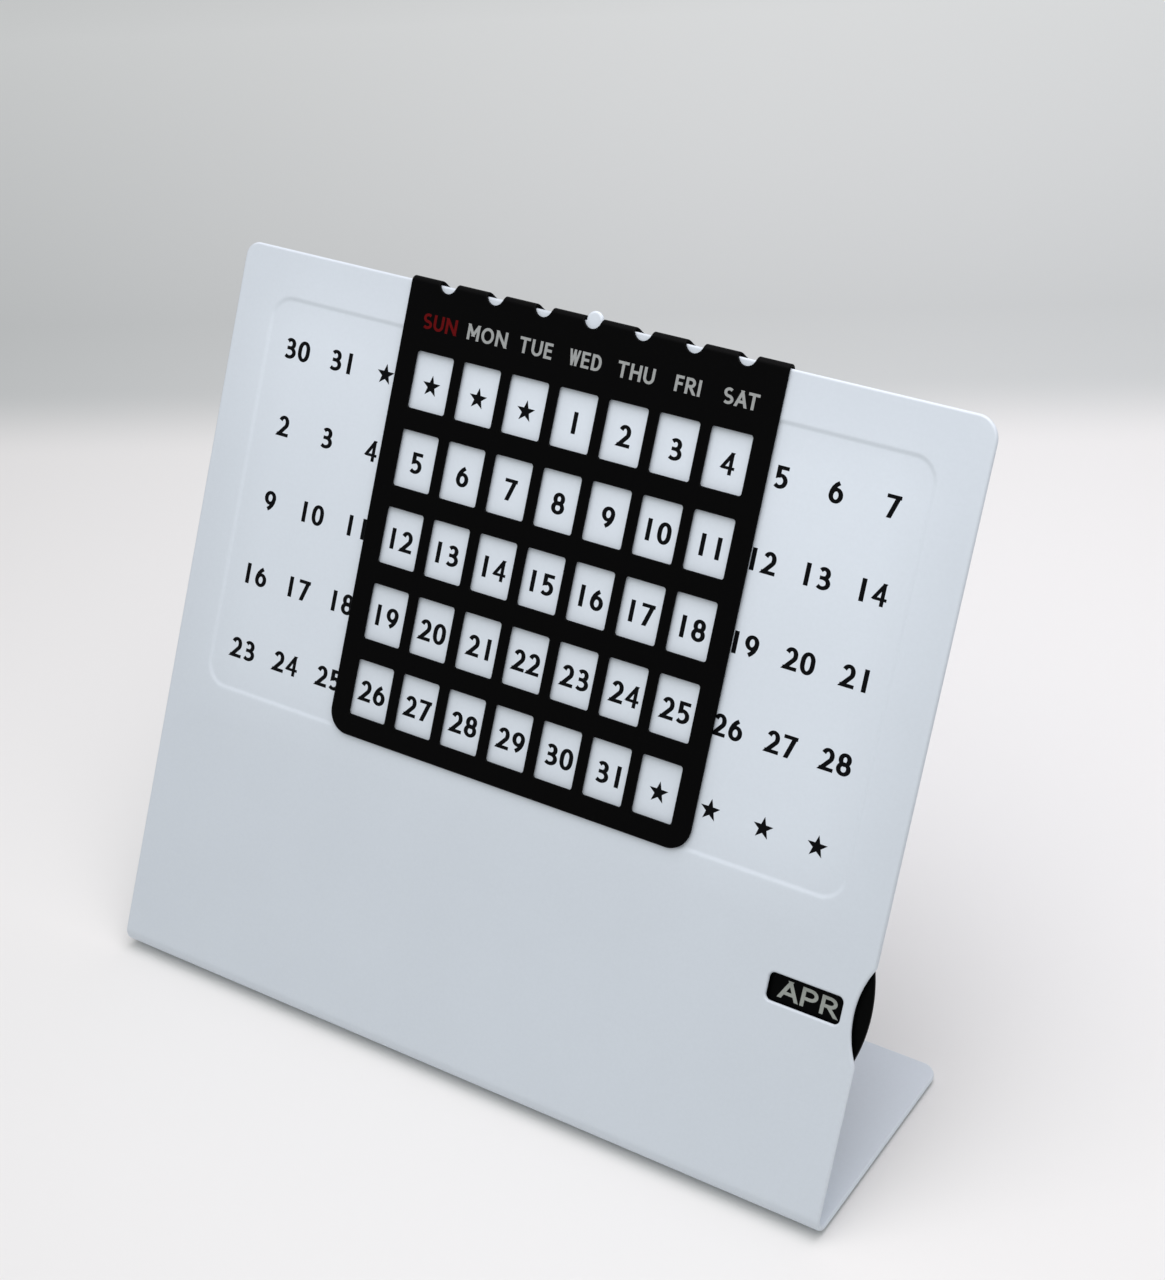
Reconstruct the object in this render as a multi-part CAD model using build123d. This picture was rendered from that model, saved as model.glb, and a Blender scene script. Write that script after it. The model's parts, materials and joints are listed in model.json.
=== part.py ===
from build123d import *
import os
from math import cos, radians, sin, sqrt, tan

# Perpetual desk calendar, in millimetres.
#
# One steel sheet is bent into a sloping panel and a base plate. A date slider, a black sheet
# with a window for every day of a month, hangs on the panel's top edge. Seven holes lie along
# the slider's fold, and the tab on the panel's top edge stands in one of them, which sets
# the weekday that the month starts on. A month dial turns on a shoulder stud behind the panel,
# shows one name through a window and is turned at the notch in the panel's right edge.
#
# World frame: +X to the right, +Y to the back, +Z up. The origin is on the desk, under the
# middle of the calendar's depth and of the panel's width.
# Panel frame: x to the right, y up the slope from the corner that the panel's front face and
# the base's underside would meet in, z out of the front face.

# ---------------------------------------------------------------- driving dimensions

# stand
SHEET = 1.0
LEAN_DEG = 32.0
BASE_DEPTH = 52.0
BEND_INNER_RADIUS = 2.0
PANEL_CORNER_RADIUS = 4.2
BASE_CORNER_RADIUS = 3.6
PANEL_SIDE_MARGIN = 10.15
RECESS_LEVEL = 66.2

# date field: columns and rows of numbers on the panel, in a pressed recess
FIELD_COLUMNS = 13
WEEKDAYS = 7
ROWS = 5
COLUMN_PITCH = 12.0
ROW_PITCH = 16.6
FIELD_SIDE_MARGIN = 8.15
FIELD_TOP_MARGIN = 10.35
FIELD_BOTTOM_MARGIN = 9.35
RECESS_DEPTH = 0.25
RECESS_STEP_WIDTH = 1.2
RECESS_CORNER_RADIUS = 5.0

# tab on the panel's top edge
TAB_RADIUS = 2.0

# date slider
SLIDER_SHEET = 0.6
SLIDER_GAP = 0.12
FOLD_TOP_GAP = 0.05
COLUMN_BAR = 2.92
ROW_BAR = 4.6
DAY_WINDOW_CORNER_RADIUS = 0.6
DAY_WINDOW_RISE = 0.5
SLIDER_SIDE_BAR = 4.87
SLIDER_BOTTOM_BAR = 4.75
SLIDER_CORNER_RADIUS = 5.0
FLAP_HEIGHT = 6.5
FLAP_CORNER_RADIUS = 2.0
FLAP_RECESS_GAP = 2.9
SLIDER_SHIFT = 0.44
TAB_HOLE_PLAY = 0.15
TAB_HOLE_DROP = 0.4

# month dial, its window and the thumb notch
DIAL_RADIUS = 31.0
DIAL_SHEET = 0.8
DIAL_RIM_REACH = 0.4
DIAL_FOLD_DISTANCE = 15.5
DIAL_SIDE_GAP = 0.05
DIAL_RUNNING_CLEARANCE = 0.05
MONTH_WINDOW_HEIGHT = 5.7
MONTH_WINDOW_CORNER_RADIUS = 1.2
MONTH_WINDOW_DROP = 0.5
MONTH_WINDOW_HUB_GAP = 4.6
MONTH_WINDOW_NOTCH_GAP = 2.5
NOTCH_RADIUS = 20.0
NOTCH_DEPTH = 2.6

# dial pivot, a stack behind the panel
SHOULDER_RADIUS = 3.0
THRUST_WASHER_LAND = 1.5
RECESS_BACK_CLEARANCE = 0.15
SPRING_WASHER_LAND = 3.25
SPRING_WASHER_THICKNESS = 0.25
SPRING_WASHER_HEIGHT = 0.65
SPRING_WASHER_CLEARANCE = 0.25
RETAINING_WASHER_OVERHANG = 0.5
RETAINING_WASHER_THICKNESS = 0.5
SHANK_RADIUS = 1.5
SHANK_CLEARANCE = 0.1
NUT_WALL = 1.25
NUT_HEX_HEIGHT = 2.4
NUT_DOME_HEIGHT = 2.2
NUT_THREAD_CLEARANCE = 0.05
NUT_CHAMFER = 0.35
SHANK_END_GAP = 1.2

# rubber pads under the base
PAD_RADIUS = 4.0
PAD_THICKNESS = 0.8
PAD_CHAMFER = 0.2
PAD_SIDE_GAP = 8.0
PAD_BACK_GAP = 4.0
PAD_BEND_GAP = 1.5

# ---------------------------------------------------------------- places that follow

# The recess surrounds the numbers, and the panel reaches past it on both sides.
RECESS_WIDTH = (FIELD_COLUMNS - 1) * COLUMN_PITCH + 2 * FIELD_SIDE_MARGIN
RECESS_HEIGHT = (ROWS - 1) * ROW_PITCH + FIELD_TOP_MARGIN + FIELD_BOTTOM_MARGIN
RECESS_MIDDLE = RECESS_LEVEL + RECESS_HEIGHT / 2
RECESS_TOP_EDGE = RECESS_LEVEL + RECESS_HEIGHT + RECESS_STEP_WIDTH / 2
MIDDLE_ROW_LEVEL = RECESS_LEVEL + FIELD_BOTTOM_MARGIN + (ROWS - 1) / 2 * ROW_PITCH
HALF_WIDTH = RECESS_WIDTH / 2 + PANEL_SIDE_MARGIN

# The slider's fold is a half ring round the middle of the sheet, clear of its square edges.
# Its back flap hangs above the recess's raised back, which sets the height of the panel.
FOLD_INNER_RADIUS = SHEET / 2 + SLIDER_GAP
FOLD_OUTER_RADIUS = FOLD_INNER_RADIUS + SLIDER_SHEET
FOLD_CENTRE = RECESS_TOP_EDGE + FLAP_RECESS_GAP + FLAP_HEIGHT
FOLD_TOP = FOLD_CENTRE + FOLD_OUTER_RADIUS
PANEL_SLOPE = FOLD_CENTRE + sqrt(FOLD_INNER_RADIUS**2 - (SHEET / 2)**2) - FOLD_TOP_GAP
SLIDER_FRONT = SLIDER_GAP + SLIDER_SHEET
SLIDER_BACK = -SHEET - SLIDER_GAP - SLIDER_SHEET

# A tab hole has round lower ends, and its sides run straight over the fold. The holes lie a
# little left of the columns of windows.
TAB_HOLE_RADIUS = TAB_RADIUS + TAB_HOLE_PLAY
TAB_HOLE_LEVEL = FOLD_TOP - TAB_HOLE_DROP
DAY_WINDOW_WIDTH = COLUMN_PITCH - COLUMN_BAR
DAY_WINDOW_HEIGHT = ROW_PITCH - ROW_BAR
SLIDER_WIDTH = (WEEKDAYS - 1) * COLUMN_PITCH + DAY_WINDOW_WIDTH + 2 * SLIDER_SIDE_BAR
DAY_WINDOW_MIDDLE = MIDDLE_ROW_LEVEL + DAY_WINDOW_RISE
LOWEST_WINDOW_EDGE = DAY_WINDOW_MIDDLE - (ROWS - 1) / 2 * ROW_PITCH - DAY_WINDOW_HEIGHT / 2
SLIDER_BOTTOM = LOWEST_WINDOW_EDGE - SLIDER_BOTTOM_BAR

# The calendar's depth runs from the bend's front to the back of the slider's fold.
LEAN = radians(LEAN_DEG)
FOLD_HALF_ANGLE = (radians(90) - LEAN) / 2
BEND_OUTER_RADIUS = BEND_INNER_RADIUS + SHEET
BEND_TANGENT = BEND_OUTER_RADIUS / tan(FOLD_HALF_ANGLE)
DEPTH_FRONT = BEND_TANGENT - BEND_OUTER_RADIUS
DEPTH_BACK = FOLD_CENTRE * sin(LEAN) + SHEET / 2 * cos(LEAN) + FOLD_OUTER_RADIUS
FOLD_Y = -(DEPTH_FRONT + DEPTH_BACK) / 2

PANEL = Plane(origin=(0, FOLD_Y, PAD_THICKNESS), x_dir=(1, 0, 0), z_dir=(0, -cos(LEAN), sin(LEAN)))

# The dial's rim stands out past the panel's right edge, and the month window lies over the dial
# between its hub and the notch, a little below the dial's middle.
DIAL_X = HALF_WIDTH + DIAL_RIM_REACH - DIAL_RADIUS
DIAL_LEVEL = DIAL_RADIUS + DIAL_FOLD_DISTANCE
THRUST_WASHER_RADIUS = SHOULDER_RADIUS + THRUST_WASHER_LAND
NOTCH_X = HALF_WIDTH - NOTCH_DEPTH + NOTCH_RADIUS
MONTH_WINDOW_LEFT = DIAL_X + THRUST_WASHER_RADIUS + MONTH_WINDOW_HUB_GAP
MONTH_WINDOW_RIGHT = HALF_WIDTH - NOTCH_DEPTH - MONTH_WINDOW_NOTCH_GAP
MONTH_WINDOW_WIDTH = MONTH_WINDOW_RIGHT - MONTH_WINDOW_LEFT
MONTH_WINDOW_X = (MONTH_WINDOW_LEFT + MONTH_WINDOW_RIGHT) / 2

# Depths of the dial's stack. The thrust washer keeps the dial clear of the recess's raised back.
THRUST_WASHER_THICKNESS = RECESS_DEPTH + RECESS_BACK_CLEARANCE
DIAL_FRONT = -SHEET - THRUST_WASHER_THICKNESS - DIAL_SIDE_GAP
DIAL_BACK = DIAL_FRONT - DIAL_SHEET
SHOULDER_END = DIAL_BACK - DIAL_SIDE_GAP - SPRING_WASHER_HEIGHT
RETAINER_END = SHOULDER_END - RETAINING_WASHER_THICKNESS
NUT_HEX_END = RETAINER_END - NUT_HEX_HEIGHT
NUT_END = NUT_HEX_END - NUT_DOME_HEIGHT
SHANK_END = NUT_END + SHANK_END_GAP
SPRING_WASHER_BORE = SHOULDER_RADIUS + SPRING_WASHER_CLEARANCE
SPRING_WASHER_RADIUS = SPRING_WASHER_BORE + SPRING_WASHER_LAND
RETAINING_WASHER_RADIUS = SPRING_WASHER_RADIUS + RETAINING_WASHER_OVERHANG
NUT_HALF_FLATS = SHANK_RADIUS + NUT_WALL


# ---------------------------------------------------------------- helpers

def disc(radius, top, bottom, x=0.0, y=0.0):
    """A cylinder along the panel's normal, between two depths."""
    return extrude(Plane((x, y, bottom)) * Circle(radius), top - bottom)


def dial_disc(radius, top, bottom):
    """A cylinder on the dial's axis."""
    return disc(radius, top, bottom, DIAL_X, DIAL_LEVEL)


def through_cut(outline, x, y, top, bottom):
    """The tool that cuts an outline right through what lies between two depths."""
    return extrude(Plane((x, y, bottom)) * outline, top - bottom)


# ---------------------------------------------------------------- stand

def sheet_section():
    """Side view of the bent sheet, y to the back and z up from the fold's outer corner."""
    top_front = (PANEL_SLOPE * sin(LEAN), PANEL_SLOPE * cos(LEAN))
    top_back = (top_front[0] + SHEET * cos(LEAN), top_front[1] - SHEET * sin(LEAN))
    outer_corner = (0, 0)
    inner_corner = (SHEET / tan(FOLD_HALF_ANGLE), SHEET)
    outline = Polyline(top_front, outer_corner, (BASE_DEPTH, 0), (BASE_DEPTH, SHEET), inner_corner,
                       top_back, close=True)
    section = make_face(outline)
    section = fillet(section.vertices().sort_by_distance(Vector(*outer_corner))[0], BEND_OUTER_RADIUS)
    return fillet(section.vertices().sort_by_distance(Vector(*inner_corner))[0], BEND_INNER_RADIUS)


def recess_step(depth):
    """The tapered plug between the recess's rim and its floor, with its wide side at a depth."""
    rim = RectangleRounded(RECESS_WIDTH + RECESS_STEP_WIDTH, RECESS_HEIGHT + RECESS_STEP_WIDTH,
                           RECESS_CORNER_RADIUS + RECESS_STEP_WIDTH / 2)
    floor = RectangleRounded(RECESS_WIDTH - RECESS_STEP_WIDTH, RECESS_HEIGHT - RECESS_STEP_WIDTH,
                             RECESS_CORNER_RADIUS - RECESS_STEP_WIDTH / 2)
    wide = Plane((0, RECESS_MIDDLE, depth)) * rim
    narrow = Plane((0, RECESS_MIDDLE, depth - RECESS_DEPTH)) * floor
    return loft([wide, narrow])


def make_stand():
    section = Plane.YZ * sheet_section()
    sheet = Pos(0, FOLD_Y, PAD_THICKNESS) * extrude(section, HALF_WIDTH, both=True)
    base_corners = sheet.edges().filter_by(Axis.Z)
    sheet = fillet(base_corners, BASE_CORNER_RADIUS)
    normal = Axis(PANEL.origin, PANEL.z_dir)
    sheet = fillet(sheet.edges().filter_by(normal), PANEL_CORNER_RADIUS)

    tab = disc(TAB_RADIUS, 0, -SHEET, 0, PANEL_SLOPE)
    month_window = through_cut(
        RectangleRounded(MONTH_WINDOW_WIDTH, MONTH_WINDOW_HEIGHT, MONTH_WINDOW_CORNER_RADIUS),
        MONTH_WINDOW_X, DIAL_LEVEL - MONTH_WINDOW_DROP, SHEET, -2 * SHEET)
    thumb_notch = disc(NOTCH_RADIUS, SHEET, -2 * SHEET, NOTCH_X, DIAL_LEVEL)

    sheet += PANEL * tab
    sheet += PANEL * recess_step(-SHEET)
    sheet -= PANEL * recess_step(0)
    sheet -= PANEL * month_window
    sheet -= PANEL * thumb_notch
    return sheet


# ---------------------------------------------------------------- date slider

def hanging_plate(height, corner_radius, depth):
    """A plate of the slider's sheet below the fold's centre, with rounded lower corners."""
    plate = Pos(SLIDER_SHIFT, FOLD_CENTRE - height / 2, depth) * extrude(
        Rectangle(SLIDER_WIDTH, height), SLIDER_SHEET)
    return fillet(plate.edges().filter_by(Axis.Z).group_by(Axis.Y)[0], corner_radius)


def slider_shell():
    """The folded strip: front plate, half ring over the panel's edge, and back flap."""
    front = hanging_plate(FOLD_CENTRE - SLIDER_BOTTOM, SLIDER_CORNER_RADIUS, SLIDER_GAP)
    flap = hanging_plate(FLAP_HEIGHT, FLAP_CORNER_RADIUS, SLIDER_BACK)
    left = SLIDER_SHIFT - SLIDER_WIDTH / 2
    ring = Circle(FOLD_OUTER_RADIUS) - Circle(FOLD_INNER_RADIUS)
    upper_half = Pos(FOLD_OUTER_RADIUS / 2, 0) * Rectangle(FOLD_OUTER_RADIUS, 2 * FOLD_OUTER_RADIUS)
    fold_plane = Plane(origin=(left, FOLD_CENTRE, -SHEET / 2), x_dir=(0, 1, 0), z_dir=(1, 0, 0))
    fold = extrude(fold_plane * (ring & upper_half), SLIDER_WIDTH)
    return front + fold + flap


def make_date_slider():
    slider = slider_shell()
    day_window = RectangleRounded(DAY_WINDOW_WIDTH, DAY_WINDOW_HEIGHT, DAY_WINDOW_CORNER_RADIUS)
    tab_hole = Circle(TAB_HOLE_RADIUS) + Pos(0, TAB_HOLE_RADIUS) * Rectangle(
        2 * TAB_HOLE_RADIUS, 2 * TAB_HOLE_RADIUS)
    for column in range(WEEKDAYS):
        x = (column - (WEEKDAYS - 1) / 2) * COLUMN_PITCH
        slider -= through_cut(tab_hole, x, TAB_HOLE_LEVEL, SLIDER_FRONT + SHEET, SLIDER_BACK - SHEET)
        for row in range(ROWS):
            y = DAY_WINDOW_MIDDLE + ((ROWS - 1) / 2 - row) * ROW_PITCH
            slider -= through_cut(day_window, x + SLIDER_SHIFT, y, SLIDER_FRONT + SHEET, 0)
    return PANEL * slider


# ---------------------------------------------------------------- month dial and its pivot

def make_month_dial():
    dial = dial_disc(DIAL_RADIUS, DIAL_FRONT, DIAL_BACK)
    dial -= dial_disc(SHOULDER_RADIUS + DIAL_RUNNING_CLEARANCE, 0, SHOULDER_END)
    return PANEL * dial


def make_dial_stud():
    shoulder = dial_disc(SHOULDER_RADIUS, -SHEET, SHOULDER_END)
    shank = dial_disc(SHANK_RADIUS, SHOULDER_END, SHANK_END)
    return PANEL * (shoulder + shank)


def make_thrust_washer():
    washer = dial_disc(THRUST_WASHER_RADIUS, -SHEET, -SHEET - THRUST_WASHER_THICKNESS)
    washer -= dial_disc(SHOULDER_RADIUS + DIAL_RUNNING_CLEARANCE, 0, SHOULDER_END)
    return PANEL * washer


def make_spring_washer():
    """A dished ring: its rim faces the dial and its bore rests on the retaining washer."""
    rim_front = SHOULDER_END + SPRING_WASHER_HEIGHT
    outline = Polyline(
        (SPRING_WASHER_BORE, SHOULDER_END),
        (SPRING_WASHER_BORE, SHOULDER_END + SPRING_WASHER_THICKNESS),
        (SPRING_WASHER_RADIUS, rim_front),
        (SPRING_WASHER_RADIUS, rim_front - SPRING_WASHER_THICKNESS),
        close=True)
    ring = revolve(Plane.XZ * make_face(outline), Axis.Z)
    return PANEL * Pos(DIAL_X, DIAL_LEVEL, 0) * ring


def make_retaining_washer():
    washer = dial_disc(RETAINING_WASHER_RADIUS, SHOULDER_END, RETAINER_END)
    washer -= dial_disc(SHANK_RADIUS + SHANK_CLEARANCE, 0, SHANK_END)
    return PANEL * washer


def make_dome_nut():
    corner_radius = NUT_HALF_FLATS / cos(radians(30))
    hexagon = extrude(Plane((0, 0, NUT_HEX_END)) * RegularPolygon(corner_radius, 6), NUT_HEX_HEIGHT)
    cap = disc(corner_radius, RETAINER_END, NUT_HEX_END)
    cap = chamfer(cap.edges().group_by(Axis.Z)[0], NUT_CHAMFER)
    dome_radius = NUT_HALF_FLATS - NUT_CHAMFER
    dome = Pos(0, 0, NUT_HEX_END) * scale(Sphere(dome_radius), (1, 1, NUT_DOME_HEIGHT / dome_radius))
    dome &= disc(NUT_HALF_FLATS, NUT_HEX_END, NUT_END)
    nut = (hexagon & cap) + dome
    nut -= disc(SHANK_RADIUS + NUT_THREAD_CLEARANCE, RETAINER_END, SHANK_END)
    return PANEL * Pos(DIAL_X, DIAL_LEVEL, 0) * nut


# ---------------------------------------------------------------- foot pads

def make_foot_pad(x, y):
    pad = extrude(Circle(PAD_RADIUS), PAD_THICKNESS)
    pad = chamfer(pad.edges().group_by(Axis.Z)[0], PAD_CHAMFER)
    return Pos(x, y, 0) * pad


def foot_pads():
    pad_x = HALF_WIDTH - PAD_SIDE_GAP - PAD_RADIUS
    pad_y = {
        "front": FOLD_Y + BEND_TANGENT + PAD_BEND_GAP + PAD_RADIUS,
        "rear": FOLD_Y + BASE_DEPTH - PAD_BACK_GAP - PAD_RADIUS,
    }
    return {
        f"foot_pad_{end}_{side}": make_foot_pad(sign * pad_x, y)
        for end, y in pad_y.items()
        for side, sign in (("left", -1), ("right", 1))
    }


# ---------------------------------------------------------------- write the nodes

nodes = {
    "stand": make_stand(),
    "date_slider": make_date_slider(),
    "month_dial": make_month_dial(),
    "dial_stud": make_dial_stud(),
    "thrust_washer": make_thrust_washer(),
    "spring_washer": make_spring_washer(),
    "retaining_washer": make_retaining_washer(),
    "dome_nut": make_dome_nut(),
    **foot_pads(),
}

os.makedirs("parts", exist_ok=True)
for name, shape in nodes.items():
    export_step(shape, f"parts/{name}.step")

dial_axis = PANEL.from_local_coords(Vector(DIAL_X, DIAL_LEVEL, 0))
print("dial pivot", [round(v / 1000, 6) for v in dial_axis])
print("dial axis", [round(v, 6) for v in PANEL.z_dir])
print("seat pitch", COLUMN_PITCH / 1000)
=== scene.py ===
"""Perpetual desk calendar: a bent steel stand, a date slider that hangs on it and a month dial.

The stand, the slider and the dial are made as sheet metal: each is a flat blank with rounded
edges, and the stand and the slider are then folded. Lengths are in metres. On a blank, x runs to
the right and y up the panel's slope, from the corner that its front face and the base's
underside would meet in. Depths are nought at a blank's front face and negative behind it.
"""
import json
import math

import bmesh
import bpy
from bpy.props import FloatProperty, FloatVectorProperty, IntProperty, PointerProperty
from mathutils import Matrix, Vector, geometry

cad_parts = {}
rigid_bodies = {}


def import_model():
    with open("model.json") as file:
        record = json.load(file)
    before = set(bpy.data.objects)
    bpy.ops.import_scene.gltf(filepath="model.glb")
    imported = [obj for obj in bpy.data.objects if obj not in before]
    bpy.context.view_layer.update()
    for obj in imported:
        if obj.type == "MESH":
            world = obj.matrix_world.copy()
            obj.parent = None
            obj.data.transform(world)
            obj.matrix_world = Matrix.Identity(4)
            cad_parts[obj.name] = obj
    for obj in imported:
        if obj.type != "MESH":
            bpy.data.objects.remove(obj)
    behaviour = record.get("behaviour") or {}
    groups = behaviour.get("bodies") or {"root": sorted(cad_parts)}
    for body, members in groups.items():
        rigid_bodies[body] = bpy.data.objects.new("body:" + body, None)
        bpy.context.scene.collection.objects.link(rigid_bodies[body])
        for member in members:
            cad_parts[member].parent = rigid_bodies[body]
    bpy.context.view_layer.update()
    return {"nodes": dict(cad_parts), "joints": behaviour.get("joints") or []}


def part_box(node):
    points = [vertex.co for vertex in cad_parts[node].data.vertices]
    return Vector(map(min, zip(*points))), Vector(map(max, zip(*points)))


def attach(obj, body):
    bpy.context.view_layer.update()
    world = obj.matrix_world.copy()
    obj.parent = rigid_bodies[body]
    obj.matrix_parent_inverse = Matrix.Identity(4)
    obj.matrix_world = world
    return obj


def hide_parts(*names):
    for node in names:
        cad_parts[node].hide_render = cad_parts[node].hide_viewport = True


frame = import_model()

bl_info = {
    "name": "Perpetual Desk Calendar",
    "version": (1, 0, 0),
    "blender": (4, 5, 0),
    "location": "3D View > Sidebar > Calendar",
    "description": "Makes the calendar's sheet metal, print, finishes and studio on its frame",
    "category": "Object",
}

MM = 0.001

# The dial turns about the panel's normal, so its joint gives the panel's lean and place.
MONTH_TURN = next(joint for joint in frame["joints"] if joint["name"] == "month_turn")
PIVOT = Vector(MONTH_TURN["pos_m"])
NORMAL = Vector(MONTH_TURN["axis"]).normalized()
RIGHT = Vector((1, 0, 0))
UP = NORMAL.cross(RIGHT)
STAND_LOW, STAND_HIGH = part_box("stand")
SLIDER_LOW, SLIDER_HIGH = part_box("date_slider")
DIAL_LEVEL = (PIVOT.z - STAND_LOW.z) / UP.z
PANEL_ORIGIN = PIVOT - PIVOT.x * RIGHT - DIAL_LEVEL * UP
PANEL_TILT = Matrix((RIGHT, UP, NORMAL)).transposed().to_euler()
HALF_WIDTH = STAND_HIGH.x
TAB_TOP = (STAND_HIGH.z - STAND_LOW.z) / UP.z

# How finely round stretches are divided, and the narrow flats that hold a rounding's shading.
ARC_TOLERANCE = 0.004 * MM
EDGE_STEPS = 3
PRESS_STEPS = 8
SLOT_STEPS = 10
SLIDER_FOLD_STEPS = 20
STAND_BEND_STEPS = 22
EDGE_SUPPORT = 0.06 * MM
FOLD_SUPPORT = 0.35 * MM
WELD_DISTANCE = 0.001 * MM


# ---- sizes and colours

def place(name, description, millimetres, **limits):
    """A coordinate in metres, which may be negative, with its default in millimetres."""
    return FloatProperty(name=name, description=description, default=millimetres * MM,
                         precision=5, subtype="DISTANCE", unit="LENGTH", **limits)


def length(name, description, millimetres):
    """A length in metres, with its default in millimetres."""
    return place(name, description, millimetres, min=0.0)


def angle(name, description, degrees):
    """An angle property whose default is given in degrees."""
    return FloatProperty(name=name, description=description, default=math.radians(degrees),
                         subtype="ANGLE", unit="ROTATION")


def share(name, description, default):
    """A plain number from nought up."""
    return FloatProperty(name=name, description=description, default=default, min=0.0)


def count(name, description, default):
    """A whole number of at least one."""
    return IntProperty(name=name, description=description, default=default, min=1)


def spot(name, description, *millimetres):
    """A point in metres, with its default in millimetres."""
    return FloatVectorProperty(name=name, description=description, size=3,
                               default=[part * MM for part in millimetres],
                               subtype="TRANSLATION", unit="LENGTH")


def colour(name, description, default):
    """A colour, as linear red, green and blue."""
    return FloatVectorProperty(name=name, description=description, default=default, size=3,
                               min=0.0, max=1.0, subtype="COLOR")


class StandSizes(bpy.types.PropertyGroup):
    """The bent sheet: base plate, bend, panel, recess, month window, notch and tab."""

    sheet: length("Sheet", "Thickness of the sheet", 1.0)
    edge: length("Edge radius", "Rounding of the coated cut edges", 0.46)
    bend: length("Bend radius", "Inner radius of the bend under the panel", 2.0)
    base_depth: length("Base depth", "Base plate, from the fold's corner to its back", 52.0)
    base_corner: length("Base corners", "Radius of the base plate's rear corners", 3.6)
    panel_corner: length("Panel corner", "Radius of the panel's upper right corner", 4.7)
    left_corner: length("Left corner", "Radius of the panel's upper left corner", 3.3)
    tab: length("Tab radius", "Round tab on the panel's top edge", 1.93)
    tab_rise: length("Tab rise", "Middle of the tab above the panel's top edge", 0.25)
    tab_shift: length("Tab shift", "Tab right of the panel's middle", 0.33)
    recess_width: length("Recess width", "Date field's recess, middle of its step", 160.3)
    recess_height: length("Recess height", "Date field's recess, middle of its step", 86.1)
    recess_level: length("Recess level", "Height of the recess's lower step", 66.2)
    recess_corner: length("Recess corners", "Radius at the middle of the step", 5.0)
    recess_depth: length("Recess depth", "How far the field is pressed back", 0.25)
    recess_step: length("Step width", "Width of the soft step round the recess", 1.2)
    window_width: length("Month window width", "Window in front of the dial", 16.4)
    window_height: length("Month window height", "Window in front of the dial", 5.7)
    window_corner: length("Month window corners", "Corner radius of the window", 1.2)
    window_x: length("Month window place", "Middle of the window", 77.0)
    window_drop: length("Month window drop", "Window's middle below the dial's axis", 0.5)
    notch_radius: length("Notch radius", "Thumb notch in the panel's right edge", 20.0)
    notch_depth: length("Notch depth", "How far the notch reaches into the panel", 2.6)


class SliderSizes(bpy.types.PropertyGroup):
    """The date slider: a folded black sheet with a window for each day."""

    sheet: length("Sheet", "Thickness of the slider's sheet", 0.6)
    edge: length("Edge radius", "Rounding of the coated cut edges", 0.2)
    front: length("Front face", "How far the front face stands off the panel", 0.72)
    bottom: length("Bottom edge", "Height of the slider's lower edge", 65.3)
    fold_level: length("Fold level", "Height at which the fold starts", 162.12)
    flap: length("Flap", "Height of the back flap under the fold", 6.5)
    corner: length("Lower corners", "Radius of the front plate's corners", 5.0)
    flap_corner: length("Flap corners", "Radius of the flap's corners", 2.0)
    columns: count("Columns", "Windows in a row, one for each weekday", 7)
    rows: count("Rows", "Rows of windows", 5)
    column_pitch: length("Column pitch", "Distance between columns", 12.0)
    row_pitch: length("Row pitch", "Distance between rows", 16.6)
    window_width: length("Window width", "Day window", 9.5)
    window_height: length("Window height", "Day window", 12.0)
    window_corner: length("Window corners", "Corner radius of a day window", 0.6)
    window_level: length("Middle row", "Height of the middle row of windows", 109.15)
    window_shift: length("Window shift", "Windows right of the slider's middle", 0.05)
    hole: length("Tab holes", "Half width of the holes over the fold", 2.08)
    hole_drop: length("Front ends", "Fold's top to the middle of a hole's round front end", 0.25)
    hole_back: length("Back ends", "Fold's crown to the middle of a hole's round back end", 0.29)
    hole_pitch: length("Hole pitch", "Distance between the tab holes", 12.0)


class DialSizes(bpy.types.PropertyGroup):
    """The month dial behind the panel."""

    radius: length("Radius", "Radius of the dial", 31.0)
    sheet: length("Sheet", "Thickness of the dial", 0.8)
    edge: length("Edge radius", "Rounding of the dial's rim", 0.2)
    bore: length("Bore", "Radius of the bore on the shoulder stud", 3.05)
    front: place("Front face", "The dial's front face, from the panel's front", -1.45)


class PrintSizes(bpy.types.PropertyGroup):
    """Numbers on the panel, day names on the slider and month names on the dial."""

    film: length("Ink film", "Height of the ink above its surface", 0.02)
    sunk: length("Ink foot", "Depth of the ink's underside in its surface", 0.02)
    columns: count("Number columns", "Columns of numbers on the panel", 13)
    column_pitch: length("Number pitch", "Distance between columns of numbers", 12.05)
    number_shift: length("Number shift", "Numbers right of the panel's middle", 0.41)
    middle_row: length("Middle row", "Height of the middle row of numbers", 108.67)
    digit_height: length("Digit height", "Height of the numbers", 4.45)
    digit_advance: length("Digit advance", "Distance between a number's two digits", 3.66)
    one_shift: length("One shift", "Shift that centres a number with a narrow one in it", 0.48)
    star_radius: length("Star radius", "Radius to the points of a star", 2.32)
    star_drop: length("Star drop", "Middle of a star below the numbers' middle", 0.28)
    day_height: length("Day name height", "Capital height of the day names", 3.25)
    day_level: length("Day name level", "Middle height of the day names", 154.65)
    day_pitch: length("Day name pitch", "Distance between the day names", 12.13)
    day_shift: length("Day name shift", "Day names right of the slider's middle", 0.15)
    month_height: length("Month name height", "Capital height of the month names", 3.84)
    month_room: length("Month name room", "Most that a month's name is wide", 13.3)
    month_reach: length("Month name reach", "Dial's centre to a name's middle", 17.72)
    month_drop: length("Month name drop", "A name's middle below its ray of the dial", 0.33)
    month_turn: angle("Month turn", "The dial's turn from a level name", -1.0)


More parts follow.
